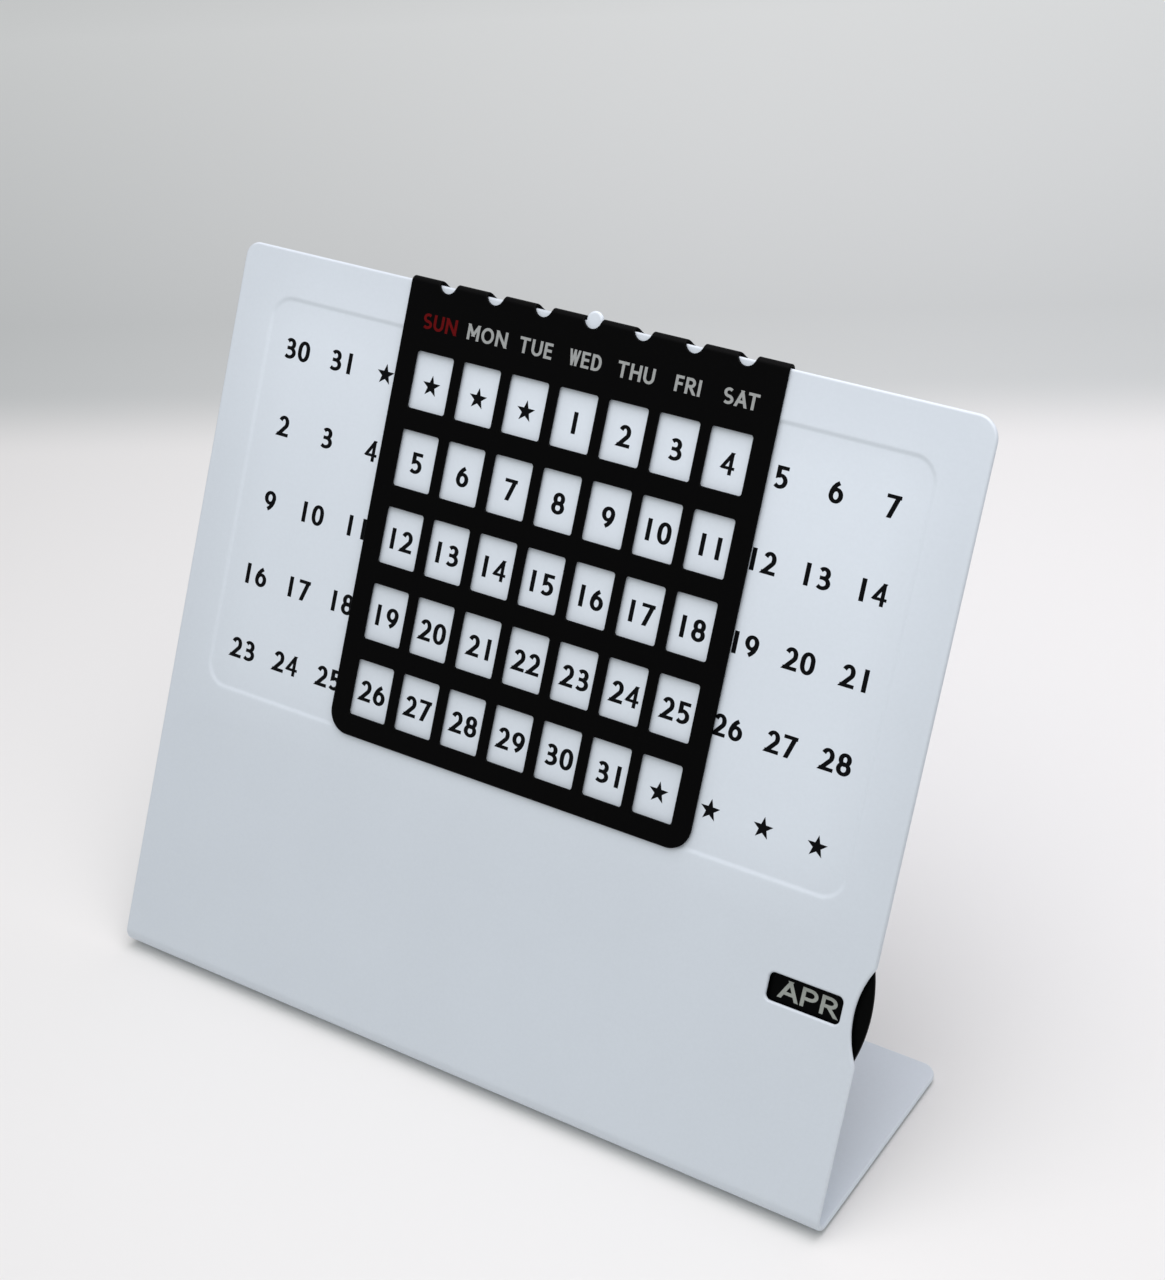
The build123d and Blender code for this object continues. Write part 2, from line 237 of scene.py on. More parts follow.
class FinishColours(bpy.types.PropertyGroup):
    """Colours of the coatings, inks and small parts."""

    white: colour("White coat", "Powder coat of the stand", (0.642, 0.702, 0.760))
    # Painted light: the coat is painted paler over the date field by this gain, in place of the light
    # that the slider and the recess shade there.
    painted_light_gain: share("Field gain", "How much paler the coat is in the date field", 1.08)
    painted_light_fade: length("Field fade", "Width of the paler field's soft border", 16.0)
    black: colour("Black coat", "Powder coat of the slider", (0.0006, 0.0006, 0.0007))
    dial: colour("Dial coat", "Coat of the month dial", (0.0006, 0.0008, 0.0008))
    number_ink: colour("Number ink", "Ink of the date numbers", (0.0012, 0.0015, 0.0022))
    day_ink: colour("Day ink", "Ink of the weekday names", (0.31, 0.325, 0.32))
    sunday_ink: colour("Sunday ink", "Ink of the first weekday", (0.10, 0.001, 0.0015))
    month_ink: colour("Month ink", "Ink of the month names", (0.345, 0.37, 0.34))
    zinc: colour("Zinc plate", "Stud, retaining washer and nut", (0.62, 0.62, 0.60))
    spring: colour("Spring steel", "Dished spring washer", (0.42, 0.42, 0.43))
    nylon: colour("Nylon", "Thrust washer", (0.80, 0.79, 0.74))
    rubber: colour("Rubber", "Foot pads", (0.035, 0.035, 0.036))


class StudioSettings(bpy.types.PropertyGroup):
    """Floor, lights and camera."""

    floor_near: colour("Near floor", "Floor round the calendar", (0.802, 0.805, 0.795))
    floor_back: colour("Back floor", "Floor past the near paper's end", (0.582, 0.606, 0.602))
    floor_far: colour("Far floor", "Floor far behind", (0.925, 0.952, 0.945))
    far_start: length("Far floor start", "Distance at which the back floor turns paler", 280.0)
    far_end: length("Far floor end", "Distance from which it has the far floor's colour", 500.0)
    # Painted light and shade: the backdrop's tone is painted darker to the left and paler to the right,
    # a painted sheen across it.
    left_light_share: share("Left share", "Tone of the backdrop's left side", 0.95)
    left_end: place("Left end", "Place across the floor up to which that tone goes", -300.0)
    right_light_share: share("Right share", "Tone of the backdrop's right side", 1.025)
    right_end: place("Right end", "Place across the floor from which that tone goes on", 0.0)
    floor_size: length("Floor size", "Side of the floor", 40000.0)
    floor_turn: angle("Floor turn", "Turn of the line at which the near paper ends", 25.0)
    paper_end: length("Paper end", "Distance to the middle of that line's soft edge", 222.0)
    paper_fade: length("Paper fade", "Width of its soft edge", 40.0)
    sky: share("Even light", "Strength of the even light from all round", 0.5)
    front_power: share("Front light", "Power of the soft box above the front, in watts", 1.24)
    front_tone: colour("Front light tone", "Colour of the soft box above the front", (1.0, 1.0, 1.0))
    front_size: length("Front light size", "Side of the soft box above the front", 500.0)
    front_place: spot("Front light place", "Middle of the soft box", 50.0, -50.0, 500.0)
    back_power: share("Back light", "Power of the soft box above the back, in watts", 0.87)
    back_tone: colour("Back light tone", "Colour of the soft box above the back", (0.985, 0.91, 1.0))
    back_size: length("Back light size", "Side of the soft box above the back", 400.0)
    back_place: spot("Back light place", "Middle of the soft box", 50.0, 150.0, 450.0)
    camera_place: spot("Camera place", "Where the camera stands", 281.53, -325.05, 400.25)
    camera_azimuth: angle("Camera azimuth", "Turn of the camera round the calendar", 38.93)
    camera_elevation: angle("Camera elevation", "How far the camera looks down", 36.31)
    camera_roll: angle("Camera roll", "Tilt of the camera about its view", -8.19)
    camera_lens: share("Focal length", "For a 36 mm long side, in millimetres", 74.43)


# ---- outlines

def arc_points(x, y, radius, start, end):
    """Points along an arc in degrees, close enough for its flats not to show."""
    sweep = end - start
    finest = 2 * math.degrees(math.acos(1 - ARC_TOLERANCE / radius))
    steps = max(2, math.ceil(abs(sweep) / finest))
    turns = [math.radians(start + sweep * k / steps) for k in range(steps + 1)]
    return [(x + radius * math.cos(turn), y + radius * math.sin(turn)) for turn in turns]


def outline(*parts):
    """A closed anticlockwise outline of arcs (x, y, radius, start, end) and points (x, y)."""
    points = []
    for part in parts:
        for point in [part] if len(part) == 2 else arc_points(*part):
            if not points or math.dist(point, points[-1]) > WELD_DISTANCE:
                points.append(point)
    if math.dist(points[0], points[-1]) < WELD_DISTANCE:
        points.pop()
    return points


def plate_outline(left, right, bottom, top, low_corner, high_corner, top_parts=(), right_parts=(),
                  last_corner=None):
    """A rectangle with rounded corners, and more parts along its top and right edges.

    last_corner is the upper left corner's radius where it differs from the upper right one's.
    """
    last_corner = last_corner or high_corner
    return outline(
        (left + low_corner, bottom + low_corner, low_corner, 180, 270),
        (right - low_corner, bottom + low_corner, low_corner, 270, 360),
        *right_parts,
        (right - high_corner, top - high_corner, high_corner, 0, 90),
        *top_parts,
        (left + last_corner, top - last_corner, last_corner, 90, 180))


def window_outline(x, y, width, height, corner):
    """A rounded rectangle about its middle."""
    return plate_outline(x - width / 2, x + width / 2, y - height / 2, y + height / 2,
                         corner, corner)


def inset(points, distance):
    """A closed outline moved to its inside, with its corners mitred."""
    moved = []
    for k, point in enumerate(points):
        here = Vector(point)
        arriving = (here - Vector(points[k - 1])).normalized()
        leaving = (Vector(points[(k + 1) % len(points)]) - here).normalized()
        reach = distance / (1 + arriving.dot(leaving))
        moved.append((here.x - (arriving.y + leaving.y) * reach,
                      here.y + (arriving.x + leaving.x) * reach))
    return moved


# ---- sheet metal

def add_ring(mesh, points, depth):
    """Vertices along an outline at one depth of the sheet."""
    return [mesh.verts.new((x, y, depth)) for x, y in points]


def add_rings(mesh, points, profile):
    """Bands between outlines, each given by its inset and depth; returns the first and last."""
    rings = [add_ring(mesh, inset(points, distance), depth) for distance, depth in profile]
    for near, far in zip(rings, rings[1:]):
        for k in range(len(near)):
            mesh.faces.new((near[k - 1], near[k], far[k], far[k - 1]))
    return rings[0], rings[-1]


def cut_edge(sheet, radius, inward):
    """Profile of a rounded cut edge from face to back. inward is 1 on an outline, -1 in a hole."""
    turns = [math.radians(90 * k / EDGE_STEPS) for k in range(EDGE_STEPS + 1)]
    face = [(radius + EDGE_SUPPORT, 0.0)]
    face += [(radius * (1 - math.sin(turn)), -radius * (1 - math.cos(turn))) for turn in turns]
    back = [(distance, -sheet - depth) for distance, depth in reversed(face)]
    return [(distance * inward, depth) for distance, depth in face + back]


def add_flat(mesh, outer, holes=()):
    """Fills the flat between a ring of vertices and the rings of its holes."""
    rings = [outer, *holes]
    corners = [corner for ring in rings for corner in ring]
    spans = []
    for ring in rings:
        start = sum(map(len, spans))
        spans.append(list(range(start, start + len(ring))))
    _, _, triangles, sources, _, coverings = geometry.delaunay_2d_cdt(
        [corner.co.xy for corner in corners], [], spans, 0, 0.01 * WELD_DISTANCE)
    for triangle, covering in zip(triangles, coverings):
        # A triangle that the outer ring alone covers is in no hole.
        if covering == [0]:
            mesh.faces.new([corners[sources[k][0]] for k in triangle])


def add_sheet(mesh, points, sheet, edge, holes=(), face_rings=(), back_rings=()):
    """A flat blank with rounded edges round its outline and its holes."""
    face, back = add_rings(mesh, points, cut_edge(sheet, edge, 1))
    faces, backs = list(face_rings), list(back_rings)
    for hole in holes:
        near, far = add_rings(mesh, hole, cut_edge(sheet, edge, -1))
        faces.append(near)
        backs.append(far)
    add_flat(mesh, face, faces)
    add_flat(mesh, back, backs)


def pressed_ring(mesh, points, width, depth, level):
    """A soft step round a pressed field, and the field's floor; returns the step's outer ring."""
    profile = [(-width / 2 - FOLD_SUPPORT, level), (-width / 2, level)]
    for k in range(1, PRESS_STEPS):
        fall = (1 - math.cos(math.pi * k / PRESS_STEPS)) / 2
        profile.append((width * (k / PRESS_STEPS - 0.5), level - depth * fall))
    profile += [(width / 2, level - depth), (width / 2 + FOLD_SUPPORT, level - depth)]
    rim, floor = add_rings(mesh, points, profile)
    add_flat(mesh, floor)
    return rim


def fold_rows(start, radius, turn, steps, sense):
    """Heights on the blank at which it is divided so that it can bend."""
    arc = radius * turn
    past = [-FOLD_SUPPORT] + [arc * k / steps for k in range(steps + 1)] + [arc + FOLD_SUPPORT]
    return [start + sense * distance for distance in past]


def divide(mesh, rows):
    """Cuts every face of a blank along level lines."""
    for row in rows:
        parts = mesh.verts[:] + mesh.edges[:] + mesh.faces[:]
        bmesh.ops.bisect_plane(mesh, geom=parts, dist=0.1 * WELD_DISTANCE,
                               plane_co=(0, row, 0), plane_no=(0, 1, 0))


def fold(mesh, start, radius, turn, sense):
    """Bends a blank back about a level line. radius is the face's own, the outer one."""
    for corner in mesh.verts:
        past = sense * (corner.co.y - start)
        if past <= 0:
            continue
        bend = min(past / radius, turn)
        beyond = past - bend * radius
        reach = radius + corner.co.z
        corner.co.y = start + sense * (reach * math.sin(bend) + beyond * math.cos(bend))
        corner.co.z = reach * math.cos(bend) - beyond * math.sin(bend) - radius


def panel_matrix(x=0.0, y=0.0, off=0.0):
    """Takes a blank's coordinates to their place on the leaning panel."""
    middle = PANEL_ORIGIN + x * RIGHT + y * UP + off * NORMAL
    return Matrix.Translation(middle) @ PANEL_TILT.to_matrix().to_4x4()


def plain_mesh(name, worked):
    """Ends the work on a mesh."""
    mesh = bpy.data.meshes.new(name)
    worked.to_mesh(mesh)
    worked.free()
    return mesh


def add_object(name, data):
    """A new object in the scene."""
    made = bpy.data.objects.new(name, data)
    bpy.context.scene.collection.objects.link(made)
    return made


def piece(name, mesh, material, body, nodes=()):
    """Makes a finished mesh a piece that rides on a body and stands for CAD nodes."""
    made = add_object(name, mesh)
    mesh.materials.clear()
    mesh.materials.append(material)
    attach(made, body)
    if nodes:
        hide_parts(*nodes)


def sheet_piece(name, blank, matrix, material, body, node):
    """Lays a finished blank in its place as the piece that replaces its CAD node."""
    bmesh.ops.transform(blank, matrix=matrix, verts=blank.verts)
    bmesh.ops.recalc_face_normals(blank, faces=blank.faces)
    mesh = plain_mesh(name, blank)
    mesh.shade_smooth()
    piece(name, mesh, material, body, [node])


# ---- node trees

def add_node(tree, kind, inputs=None, **settings):
    """A node with its settings, and its inputs linked or set by name or number."""
    node = tree.nodes.new(kind)
    for key, value in settings.items():
        setattr(node, key, value)
    for key, value in (inputs or {}).items():
        if isinstance(value, Output):
            tree.links.new(value.socket, node.inputs[key])
        else:
            node.inputs[key].default_value = value
    return node


def add_output(tree, kind, inputs=None, output=0, **settings):
    """A new node's output."""
    return Output(tree, add_node(tree, kind, inputs, **settings).outputs[output])


class Output:
    """A node's output, which is reckoned with like a number."""

    def __init__(self, tree, socket):
        self.tree = tree
        self.socket = socket

    def work(self, operation, *others):
        """A Math node's result for this output and others."""
        return math_output(self.tree, operation, self, *others)

    def __add__(self, other):
        return self.work("ADD", other)

    def __sub__(self, other):
        return self.work("SUBTRACT", other)

    def __rsub__(self, other):
        return math_output(self.tree, "SUBTRACT", other, self)

    def __mul__(self, other):
        return self.work("MULTIPLY", other)

    def __truediv__(self, other):
        return self.work("DIVIDE", other)


def math_output(tree, operation, *values):
    """A Math node's result for outputs and numbers."""
    return add_output(tree, "ShaderNodeMath", dict(enumerate(values)), operation=operation)


def geometry_tree(name, sockets):
    """An empty Geometry Nodes tree, and the outputs that give its named inputs."""
    tree = bpy.data.node_groups.new(name, "GeometryNodeTree")
    for label, kind in sockets.items():
        tree.interface.new_socket(label, in_out="INPUT", socket_type="NodeSocket" + kind)
    tree.interface.new_socket("Geometry", in_out="OUTPUT", socket_type="NodeSocketGeometry")
    given = tree.nodes.new("NodeGroupInput").outputs
    return tree, {label: Output(tree, given[label]) for label in sockets}


def end_tree(tree, shape, finish):
    """Ends a tree in real geometry with its material."""
    real = add_output(tree, "GeometryNodeRealizeInstances", {"Geometry": shape})
    painted = add_output(tree, "GeometryNodeSetMaterial", {"Geometry": real, "Material": finish})
    add_node(tree, "NodeGroupOutput", {0: painted})


def run_tree(tree, values):
    """Evaluates a tree and returns what it makes as a plain mesh."""
    holder = add_object(tree.name, bpy.data.meshes.new(tree.name))
    modifier = holder.modifiers.new(tree.name, "NODES")
    modifier.node_group = tree
    for item in tree.interface.items_tree:
        if item.in_out == "INPUT":
            modifier[item.identifier] = values[item.name]
    depsgraph = bpy.context.evaluated_depsgraph_get()
    made = bpy.data.meshes.new_from_object(holder.evaluated_get(depsgraph), depsgraph=depsgraph)
    holder.modifiers.clear()
    bpy.data.objects.remove(holder)
    if not made.polygons:
        raise RuntimeError(f"{tree.name} made no faces")
    return made


def template_collection(name, meshes):
    """Keeps template meshes in a collection outside the scene, in their order."""
    collection = bpy.data.collections.new(name)
    for k, mesh in enumerate(meshes):
        collection.objects.link(bpy.data.objects.new(f"{name}_{k:02d}", mesh))
    return collection


def remove_templates(collection):
    """Deletes the templates once they have been placed."""
    for template in list(collection.objects):
        bpy.data.objects.remove(template)
    bpy.data.collections.remove(collection)


# ---- lettering

# Each character has its width as a share of its height, and strokes in a box one wide and one
# high. A stroke runs through points (x, y) and arcs (x, y, radius x, radius y, start, end).
FULL_TURN = (90, -270)
LEFT_STEM = [(0, 0), (0, 1)]
RIGHT_STEM = [(1, 0), (1, 1)]
MIDDLE_STEM = [(0.5, 0), (0.5, 1)]
HEAD_BAR = [(0, 1), (1, 1)]
FOOT_BAR = [(0, 0), (1, 0)]
CHARACTERS = {
    "0": (0.71, [[(0.5, 0.60, 0.5, 0.40, 180, 0), (0.5, 0.40, 0.5, 0.40, 0, -180), (0, 0.60)]]),
    "1": (0.21, [MIDDLE_STEM]),
    "2": (0.69, [[(0.46, 0.69, 0.46, 0.31, 160, -38), (0.02, 0)], FOOT_BAR]),
    "3": (0.69, [[(0.42, 0.76, 0.44, 0.24, 148, -90), (0.28, 0.52)],
                 [(0.28, 0.52), (0.40, 0.52), (0.40, 0.26, 0.60, 0.26, 90, -138)]]),
    "4": (0.715, [[(0.78, 1), (0.05, 0.30)], [(0.08, 0.27), (1, 0.27)], [(0.78, 0), (0.78, 1)]]),
    "5": (0.66, [[(0.93, 1), (0.12, 1)], [(0.12, 1), (0.12, 0.56)],
                 [(0.12, 0.56), (0.30, 0.60), (0.38, 0.30, 0.62, 0.30, 98, -138)]]),
    "6": (0.70, [[(1.4, 0.31, 1.4, 0.78, 121, 180)], [(0.5, 0.31, 0.5, 0.31, *FULL_TURN)]]),
    "7": (0.69, [HEAD_BAR, [(0.93, 1), (0.34, 0)]]),
    "8": (0.71, [[(0.5, 0.745, 0.42, 0.255, *FULL_TURN)], [(0.5, 0.265, 0.5, 0.265, *FULL_TURN)]]),
    "9": (0.70, [[(-0.4, 0.69, 1.4, 0.78, 301, 360)], [(0.5, 0.69, 0.5, 0.31, *FULL_TURN)]]),
    "A": (0.84, [[(0, 0), (0.5, 1)], [(0.5, 1), (1, 0)], [(0.20, 0.28), (0.80, 0.28)]]),
    "B": (0.72, [LEFT_STEM, [(0, 1), (0.50, 1), (0.50, 0.765, 0.40, 0.235, 90, -90), (0, 0.53)],
                 [(0, 0.53), (0.55, 0.53), (0.55, 0.265, 0.45, 0.265, 90, -90), (0, 0)]]),
    "C": (0.86, [[(0.58, 0.5, 0.58, 0.5, 47, 313)]]),
    "D": (0.72, [LEFT_STEM, [(0, 1), (0.42, 1), (0.42, 0.5, 0.58, 0.5, 90, -90), (0, 0)]]),
    "E": (0.60, [LEFT_STEM, HEAD_BAR, [(0, 0.52), (0.9, 0.52)], FOOT_BAR]),
    "F": (0.58, [LEFT_STEM, HEAD_BAR, [(0, 0.52), (0.88, 0.52)]]),
    "G": (0.90, [[(0.56, 0.5, 0.56, 0.5, 47, 335)], [(1, 0.12), (1, 0.46)], [(0.66, 0.46), (1, 0.46)]]),
    "H": (0.80, [LEFT_STEM, RIGHT_STEM, [(0, 0.52), (1, 0.52)]]),
    "I": (0.18, [MIDDLE_STEM]),
    "J": (0.50, [[(1, 1), (1, 0.30), (0.5, 0.30, 0.5, 0.30, 0, -150)]]),
    "L": (0.58, [LEFT_STEM, FOOT_BAR]),
    "M": (0.92, [LEFT_STEM, RIGHT_STEM, [(0.03, 1), (0.5, 0.30)], [(0.97, 1), (0.5, 0.30)]]),
    "N": (0.88, [LEFT_STEM, RIGHT_STEM, [(0.04, 1), (0.96, 0)]]),
    "O": (0.96, [[(0.5, 0.5, 0.5, 0.5, *FULL_TURN)]]),
    "P": (0.70, [LEFT_STEM, [(0, 1), (0.55, 1), (0.55, 0.715, 0.45, 0.285, 90, -90), (0, 0.43)]]),
    "R": (0.73, [LEFT_STEM, [(0, 1), (0.48, 1), (0.48, 0.74, 0.44, 0.26, 90, -90), (0, 0.48)],
                 [(0.42, 0.48), (1, 0)]]),
    "S": (0.74, [[(0.50, 0.745, 0.46, 0.255, 45, 270), (0.48, 0.25, 0.52, 0.24, 90, -138)]]),
    "T": (0.78, [MIDDLE_STEM, HEAD_BAR]),
    "U": (0.80, [[(0, 1), (0, 0.36), (0.5, 0.36, 0.5, 0.36, 180, 360), (1, 1)]]),
    "V": (0.92, [[(0, 1), (0.5, 0)], [(0.5, 0), (1, 1)]]),
    "W": (0.78, [[(0, 1), (0.27, 0)], [(0.27, 0), (0.5, 1)],
                 [(0.5, 1), (0.73, 0)], [(0.73, 0), (1, 1)]]),
    "Y": (0.84, [[(0, 1), (0.5, 0.44)], [(1, 1), (0.5, 0.44)], [(0.5, 0.50), (0.5, 0)]]),
}
# How much closer than others two characters stand, as a share of their height.
TIGHT_PAIRS = {"SA": 0.06, "AT": 0.15, "AP": 0.05, "SU": 0.06, "WE": 0.03}
# Characters drawn with a finer nib, as a share of the pen's own.
FINE_CHARACTERS = {"4": 0.80, "W": 0.82}
# Thickness of upright and of level strokes, and the gap between letters, as shares of the height.
NUMBER_NIB = (0.226, 0.165)
DAY_NIB = (0.20, 0.175)
DAY_GAP = 0.16
MONTH_NIB = (0.215, 0.175)
MONTH_GAP = 0.19
# How much wider than the day names' the month names' letters are drawn.
MONTH_STRETCH = 1.34
# Most degrees between two points of a stroke's arc.
STROKE_STEP = 15
LAST_DAY = 31
WEEKDAYS = ("SUN", "MON", "TUE", "WED", "THU", "FRI", "SAT")
MONTHS = ("JAN", "FEB", "MAR", "APR", "MAY", "JUN", "JUL", "AUG", "SEP", "OCT", "NOV", "DEC")
# Which of the months stands in the window at rest, counted from nought.
SHOWN_MONTH = 3


class Pen:
    """A broad nib that draws characters of one height."""

    def __init__(self, height, nib, stretch=1.0, finer=1.0):
        """nib gives the thickness of upright and of level strokes, as shares of the height."""
        self.height = height
        self.nib = nib
        self.stretch = stretch
        self.upright, self.level = [finer * (part * height) for part in nib]

    def changed(self, finer=1.0, narrower=1.0):
        """A pen of the same height with a finer nib, or for narrower characters."""
        return Pen(self.height, self.nib, self.stretch * narrower, finer)

    def width(self, character):
        """How wide a character is."""
        return max(CHARACTERS[character][0] * self.height * self.stretch, self.upright)

    def narrowed(self, text, gap, room):
        """This pen, or one that draws a text narrower so that it takes no more than its room."""
        gaps = gap * (len(text) - 1)
        letters = sum(map(self.width, text))
        return self.changed(narrower=min(1.0, (room - gaps) / letters))

    def stroke_points(self, stroke, left, width):
        """The middle line of a stroke."""
        unit = []
        for part in stroke:
            if len(part) == 2:
                unit.append(part)
                continue
            x, y, radius_x, radius_y, start, end = part
            steps = math.ceil(abs(end - start) / STROKE_STEP)
            for k in range(steps + 1):
                turn = math.radians(start + (end - start) * k / steps)
                unit.append((x + radius_x * math.cos(turn), y + radius_y * math.sin(turn)))
        points = []
        for x, y in unit:
            point = Vector((left + self.upright / 2 + x * (width - self.upright),
                            self.level / 2 + y * (self.height - self.level)))
            if not points or (point - points[-1]).length > WELD_DISTANCE:
                points.append(point)
        return points

    def end_cut(self, tip, side, away):
        """Runs the side of a stroke out to the box's edge, level or upright by its direction."""
        axis, half = (1, self.level / 2) if abs(away.y) > abs(away.x) / 2 else (0, self.upright / 2)
        past = (side[axis] - tip[axis]) * math.copysign(1, away[axis])
        return side + away * ((half - past) / abs(away[axis]))

    def stroke_sides(self, stroke, left, width):
        """Pairs of points on both sides of a stroke."""
        points = self.stroke_points(stroke, left, width)
        closed = (points[0] - points[-1]).length < WELD_DISTANCE
        last = len(points) - 1
        sides = []
        for k, point in enumerate(points):
            before = points[k - 1] if k else points[-2] if closed else point
            after = points[k + 1] if k < last else points[1] if closed else point
            along = (after - before).normalized()
            across = Vector((-along.y, along.x))
            reach = math.hypot(self.upright / 2 * across.x, self.level / 2 * across.y)
            pair = [point + across * reach, point - across * reach]
            straight_end = (k == 0 and len(stroke[0]) == 2) or (k == last and len(stroke[-1]) == 2)
            if straight_end and not closed:
                pair = [self.end_cut(point, side, along if k else -along) for side in pair]
            sides.append(pair)
        if closed:
            sides[-1] = sides[0]
        return sides

    def triangles(self, text, gap=0.0, drop=0.0):
        """Overlapping triangles that cover a text, with its middle below the origin by drop."""
        gaps = [gap - TIGHT_PAIRS.get(text[k:k + 2], 0.0) * self.height for k in range(len(text) - 1)]
        left = -(sum(map(self.width, text)) + sum(gaps)) / 2
        made = []
        for character, after in zip(text, gaps + [0.0]):
            width = self.width(character)
            pen = self.changed(finer=FINE_CHARACTERS.get(character, 1.0))
            for stroke in CHARACTERS[character][1]:
                sides = pen.stroke_sides(stroke, left, width)
                for (a, b), (c, d) in zip(sides, sides[1:]):
                    made += [(a, b, c), (b, d, c)]
            left += width + after
        middle = Vector((0, self.height / 2 + drop))
        return [[point - middle for point in corners] for corners in made]


def spans_area(a, b, c):
    """Whether a flat triangle is more than a sliver."""
    return abs((b - a).cross(c - a)) > WELD_DISTANCE ** 2


def ink_mesh(name, triangles, film, sunk):
    """The union of flat triangles as a thin closed film of ink."""
    triangles = [parts for parts in triangles if spans_area(*parts)]
    corners = [corner for parts in triangles for corner in parts]
    faces = [[k, k + 1, k + 2] for k in range(0, len(corners), 3)]
    spots, _, parted, *_ = geometry.delaunay_2d_cdt(corners, [], faces, 0, 0.1 * WELD_DISTANCE)
    drawn = []
    for face in parted:
        middle = sum((spots[k] for k in face), Vector((0, 0))) / len(face)
        if any(geometry.intersect_point_tri_2d(middle, *parts) for parts in triangles):
            drawn.append(face)
    mesh = bmesh.new()
    top = add_ring(mesh, spots, film)
    low = add_ring(mesh, spots, -sunk)
    # An edge of one face alone is on the rim, and gets a wall.
    rims = {}
    for face in drawn:
        mesh.faces.new([top[k] for k in face])
        mesh.faces.new([low[k] for k in reversed(face)])
        for a, b in zip(face, face[1:] + face[:1]):
            rims[frozenset((a, b))] = None if frozenset((a, b)) in rims else (a, b)
    for a, b in filter(None, rims.values()):
        mesh.faces.new((top[b], top[a], low[a], low[b]))
    loose = [corner for corner in mesh.verts if not corner.link_faces]
    bmesh.ops.delete(mesh, geom=loose, context="VERTS")
    bmesh.ops.remove_doubles(mesh, verts=mesh.verts, dist=WELD_DISTANCE)
    bmesh.ops.recalc_face_normals(mesh, faces=mesh.faces)
    return plain_mesh(name, mesh)


def star_triangles(radius, drop, points=5, inner=0.40):
    """A star with one point up. inner is its notches' radius, as a share of its points'."""
    middle = Vector((0, -drop))
    tips = []
    for k in range(2 * points):
        turn = math.radians(90 + 180 * k / points)
        reach = radius * (inner if k % 2 else 1)
        tips.append(middle + Vector((reach * math.cos(turn), reach * math.sin(turn))))
    return [(middle, tips[k - 1], tips[k]) for k in range(2 * points)]


def names_tree():
    """Names one pitch apart along a line, or one step angle apart round a ring."""
    tree, given = geometry_tree("names_along", {
        "Names": "Collection", "Count": "Int", "Start": "Float", "Pitch": "Float",
        "Radius": "Float", "First Angle": "Float", "Step Angle": "Float",
        "Place": "Vector", "Tilt": "Rotation", "Ink": "Material"})
    order = add_output(tree, "GeometryNodeInputIndex")
    turn = order * given["Step Angle"] + given["First Angle"]
    along = order * given["Pitch"] + given["Start"]
    out = turn.work("COSINE") * given["Radius"]
    rise = turn.work("SINE") * given["Radius"]
    middle = add_output(tree, "ShaderNodeCombineXYZ", {"X": along + out, "Y": rise})
    points = add_output(tree, "GeometryNodePoints", {"Count": given["Count"], "Position": middle})
    spin = add_output(tree, "ShaderNodeCombineXYZ", {"Z": turn})
    return place_templates(tree, given, {
        "Points": points, "Instance Index": order, "Rotation": spin}, given["Names"])


def place_templates(tree, given, choices, templates):
    """Puts chosen templates of a collection on points and lays them all on their surface."""
    shapes = add_output(tree, "GeometryNodeCollectionInfo",
                        {"Collection": templates, "Separate Children": True})
    placed = add_output(tree, "GeometryNodeInstanceOnPoints",
                        {"Instance": shapes, "Pick Instance": True, **choices})
    laid = add_output(tree, "GeometryNodeTransform", {
        "Geometry": placed, "Translation": given["Place"], "Rotation": given["Tilt"]})
    end_tree(tree, laid, given["Ink"])
    return tree


def numbers_tree():
    """The date field: each row starts a week after the one above it, and stars fill the cycle."""
    tree, given = geometry_tree("date_numbers", {
        "Characters": "Collection", "Columns": "Int", "Rows": "Int", "Column Pitch": "Float",
        "Row Pitch": "Float", "Advance": "Float", "One Shift": "Float", "Week": "Int", "First": "Int",
        "Last Day": "Int", "Place": "Vector", "Tilt": "Rotation", "Ink": "Material"})

    # Each cell has two points: the second is used only by a number of two digits.
    index = add_output(tree, "GeometryNodeInputIndex")
    cell = (index / 2.0).work("FLOOR")
    second = index - cell * 2.0
    row = (cell / given["Columns"]).work("FLOOR")
    column = cell - row * given["Columns"]
    serial = row * given["Week"] + (column - given["First"])
    cycle = given["Week"] * given["Rows"]
    number = serial.work("FLOORED_MODULO", cycle) + 1.0
    star = number.work("GREATER_THAN", given["Last Day"] + 0.5)
    plain = 1.0 - star
    pair = number.work("GREATER_THAN", 9.5) * plain
    tens = (number / 10.0).work("FLOOR")
    units = number - tens * 10.0
    digit = units + pair * (1.0 - second) * (tens - units)
    # The star comes after the ten digits. A 1 is narrow, so a pair with one 1 in it is shifted.
    choice = plain * digit + star * 10.0
    narrow_side = units.work("COMPARE", 1.0) - tens.work("COMPARE", 1.0)
    shift = pair * ((second - 0.5) * given["Advance"] + narrow_side * given["One Shift"])
    middle_column = (given["Columns"] - 1.0) / 2.0
    middle_row = (given["Rows"] - 1.0) / 2.0
    middle = add_output(tree, "ShaderNodeCombineXYZ", {
        "X": (column - middle_column) * given["Column Pitch"] + shift,
        "Y": (middle_row - row) * given["Row Pitch"]})
    total = given["Columns"] * given["Rows"] * 2.0
    points = add_output(tree, "GeometryNodePoints", {"Count": total, "Position": middle})
    chosen = 1.0 - second * (1.0 - pair)
    return place_templates(tree, given, {
        "Points": points, "Instance Index": choice, "Selection": chosen}, given["Characters"])


